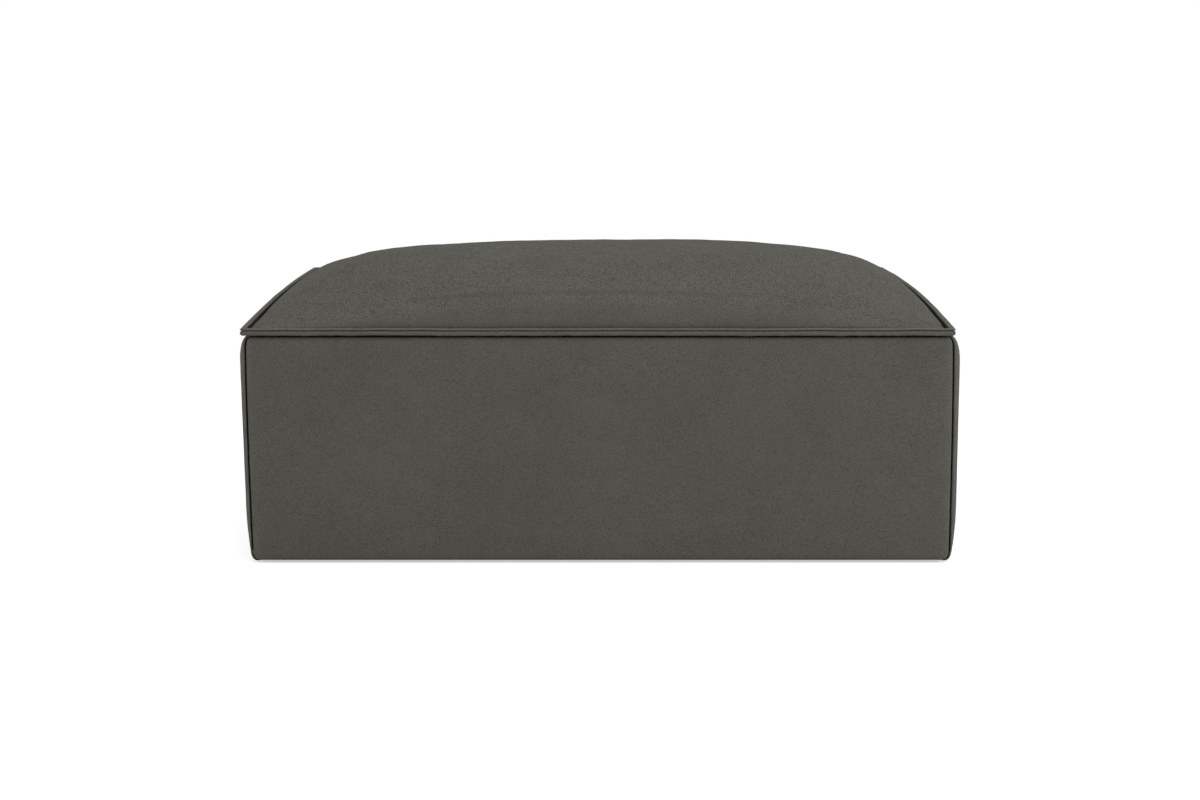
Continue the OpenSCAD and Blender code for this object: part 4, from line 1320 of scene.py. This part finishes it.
def zip_slider():
    """Two tapered plates joined by a web, with a low bridge for a pull."""
    low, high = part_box("zip_slider")
    length, width = high.x - low.x, high.y - low.y
    middle = low.x + length / 2
    centre_y = (low.y + high.y) / 2
    outline = []
    for a in np.linspace(0.0, tau, 33)[:-1]:
        c, s = cos(a), sin(a)
        x = length / 2 * copysign(abs(c) ** 0.55, c)
        taper = 1.0 - 0.22 * (x / length + 0.5)
        outline.append((x, width / 2 * taper * copysign(abs(s) ** 0.6, s)))

    def plate(z0, z1):
        """One plate between two heights, its edges broken."""
        rings = [(0.93, z0), (1.0, z0 + 0.00015), (1.0, z1 - 0.00015), (0.93, z1)]
        points = [(middle + x * size, centre_y + y * size, z) for size, z in rings for x, y in outline]
        return np.array(points), tube_faces(np.arange(len(points)).reshape(len(rings), -1))

    def bar(section, half):
        """A bar with its section in x and z, half wide to each side of the middle."""
        points = [(x, y, z) for y in (centre_y - half, centre_y + half) for x, z in section]
        return np.array(points), tube_faces(np.arange(len(points)).reshape(2, -1), flip=True)

    x0, x1 = low.x + length * 0.3, low.x + length * 0.7
    z0, z1 = low.z + 0.0003, high.z - 0.0003
    arch = [(middle - 0.0034 * cos(a), low.z + 0.0001 - 0.0011 * sin(a))
            for a in np.linspace(0.0, pi, 9)]
    arch += [(middle - 0.0026 * cos(a), low.z + 0.0002 - 0.0006 * sin(a))
             for a in np.linspace(pi, 0.0, 9)]
    bits = [plate(low.z, low.z + 0.0006), plate(high.z - 0.0006, high.z),
            bar([(x0, z0), (x1, z0), (x1, z1), (x0, z1)], 0.00024), bar(arch, 0.0009)]
    piece = make_piece("slider_body", *joined(bits), dark_metal, "zip_metal", "zip_slider", ["zip_slider"])
    piece.data.set_sharp_from_angle(angle=radians(40))


def stitch_rows(name, lines, body, pitch=0.0042, length=0.0033, thick=0.0004, up=1.0):
    """Rows of short stitches along polylines of points. up is the side on which they show."""
    stations = np.array([-0.5, -0.32, 0.0, 0.32, 0.5])
    girth = np.array([0.25, 0.8, 1.0, 0.8, 0.25])
    sink = np.array([-0.9, -0.1, 0.25, -0.1, -0.9])
    angles = np.linspace(0.0, tau, 7)[:-1]
    faces = tube_faces(np.arange(len(stations) * len(angles)).reshape(len(stations), -1))
    stitches = []
    for line in lines:
        line = np.asarray(line, float)
        steps = np.linalg.norm(np.diff(line, axis=0), axis=1)
        way = np.concatenate([[0.0], np.cumsum(steps)])
        for s in np.arange(pitch / 2, way[-1], pitch):
            stops = (max(s - 0.0005, 0.0), s, min(s + 0.0005, way[-1]))
            behind, at, ahead = (np.array([np.interp(w, way, axis) for axis in line.T]) for w in stops)
            along = (ahead - behind) / np.linalg.norm(ahead - behind)
            across = np.cross(along, [0.0, 0.0, up])
            across /= np.linalg.norm(across)
            rise = np.cross(across, along)
            ring = []
            for t, g, d in zip(stations, girth, sink):
                for a in angles:
                    ring.append(at + along * t * length + across * cos(a) * g * thick
                                + rise * (sin(a) * g * thick * 0.8 + d * thick))
            stitches.append((np.array(ring), faces))
    make_piece(name, *joined(stitches), thread, "cover_cloth", body)


def oblong(x0, x1, y0, y1, z):
    """A closed rectangle of points at one height."""
    return [(x0, y0, z), (x1, y0, z), (x1, y1, z), (x0, y1, z), (x0, y0, z)]


def all_stitches():
    """The rows that sew down the strips, the zip and the deck cloth's hem."""
    edge = 0.002
    for body, node, up in (("base", "loop_strip", 1.0), ("cushion", "hook_strip", -1.0)):
        lines = []
        for side in ("left", "right"):
            low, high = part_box(node + "_" + side)
            z = high.z if up > 0 else low.z
            lines.append(oblong(low.x + edge, high.x - edge, low.y + edge, high.y - edge, z))
        stitch_rows(node + "_stitches", lines, body, thick=0.00018, up=up)
    slider_low, slider_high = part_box("zip_slider")
    zip_low, zip_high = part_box("zip_stringers")
    slot = (slider_high.y - slider_low.y) / 2 + 0.003
    zip_y = (slider_low.y + slider_high.y) / 2
    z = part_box("cushion_bottom_cover")[0].z
    line = oblong(zip_low.x - 0.004, zip_high.x + 0.004, zip_y - slot, zip_y + slot, z)
    stitch_rows("zip_stitches", [line], "cushion", thick=0.00035, up=-1.0)
    low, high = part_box("deck_cloth")
    edge = 0.006
    hem = oblong(low.x + edge, high.x - edge, low.y + edge, high.y - edge, high.z)
    stitch_rows("deck_stitches", [hem], "base", pitch=0.005, length=0.0038, thick=0.00035)


# Stage, light and camera
def empty_tree(owner):
    """The cleared shader tree of a material or a world."""
    owner.use_nodes = True
    owner.node_tree.nodes.clear()
    return owner.node_tree


def white_glow(tree, kind, strength):
    """A white emission or background of some strength."""
    return put(tree, kind, {"Color": (1.0, 1.0, 1.0), "Strength": strength}).outputs[0]


def floor():
    """A pale floor that fades to white away from the footstool and doesn't show from below."""
    mesh = bpy.data.meshes.new("floor")
    side = 14.0
    corners = [(-side, -side, 0.0), (side, -side, 0.0), (side, side, 0.0), (-side, side, 0.0)]
    mesh.from_pydata(corners, [], [(0, 1, 2, 3)])
    add_to_scene("floor", mesh)
    material = bpy.data.materials.new("pale floor")
    tree = empty_tree(material)
    output = put(tree, "OutputMaterial")
    paint = put(tree, "BsdfDiffuse", {"Color": (0.9, 0.9, 0.9)}).outputs[0]
    white, lift = (white_glow(tree, "Emission", strength) for strength in (1.0, 0.5))
    near = put(tree, "AddShader", {0: paint, 1: lift}).outputs[0]
    place = put(tree, "TexCoord").outputs["Object"]
    away = put(tree, "VectorMath", {0: place}, operation="LENGTH").outputs["Value"]
    shown = mix_shader(tree, span(tree, away, 0.75, 1.6), near, white)
    rays = put(tree, "LightPath").outputs
    seen = mix_shader(tree, rays["Is Camera Ray"], paint, shown)
    clear = put(tree, "BsdfTransparent").outputs[0]
    below = put(tree, "NewGeometry").outputs["Backfacing"]
    tree.links.new(mix_shader(tree, below, seen, clear), output.inputs["Surface"])
    mesh.materials.append(material)


def studio():
    """White all round to the camera, and a soft grey glow on the footstool."""
    world = bpy.data.worlds.new("white studio")
    bpy.context.scene.world = world
    tree = empty_tree(world)
    output = put(tree, "OutputWorld")
    rays = put(tree, "LightPath").outputs
    mirrored = calc(tree, "MAXIMUM", rays["Is Glossy Ray"], rays["Is Transmission Ray"])
    direct = calc(tree, "MAXIMUM", rays["Is Camera Ray"], mirrored)
    glow, white = (white_glow(tree, "Background", strength) for strength in (0.61, 1.0))
    tree.links.new(mix_shader(tree, direct, glow, white), output.inputs["Surface"])


def softbox(name, place, width, height, power):
    """A large area lamp that faces the middle of the footstool."""
    lamp = bpy.data.lights.new(name, "AREA")
    lamp.shape = "RECTANGLE"
    lamp.size = width
    lamp.size_y = height
    lamp.energy = power
    made = add_to_scene(name, lamp)
    made.location = place
    aim = Vector((0.0, 0.0, 0.25)) - Vector(place)
    made.rotation_euler = aim.to_track_quat("-Z", "Y").to_euler()


def camera():
    """The photograph's view: a little above the cushion, looking down on it from the front."""
    lens = bpy.data.cameras.new("photo camera")
    lens.sensor_width = 36.0
    lens.lens = 58.7
    lens.clip_end = 100.0
    made = add_to_scene("photo camera", lens)
    made.location = (0.0019, -3.221, 0.790)
    made.rotation_euler = (radians(90.0 - 10.737), 0.0, 0.0)
    bpy.context.scene.camera = made


camera()
finish_frame()
base_covers()
base_padding()
deck()
deck_filling()
dust_cover()
stuffed_crown()
flange()
lower_bands()
cushion_underside()
cushion_wadding()
cushion_core()
cushion_base_sheet()
for strip_side in ("left", "right"):
    soft_tape("loop_tape_" + strip_side, "loop_strip_" + strip_side, "base", True)
    soft_tape("hook_tape_" + strip_side, "hook_strip_" + strip_side, "cushion", False)
zip_tapes()
zip_coils()
zip_slider()
all_stitches()
floor()
studio()
softbox("overhead softbox", (0.1, -0.5, 2.6), 2.6, 2.2, 20.0)
softbox("right softbox", (2.6, -2.0, 1.5), 1.8, 1.6, 43.0)
softbox("left softbox", (-2.7, -2.0, 1.5), 1.8, 1.6, 15.8)
bpy.context.scene.view_settings.view_transform = "Standard"
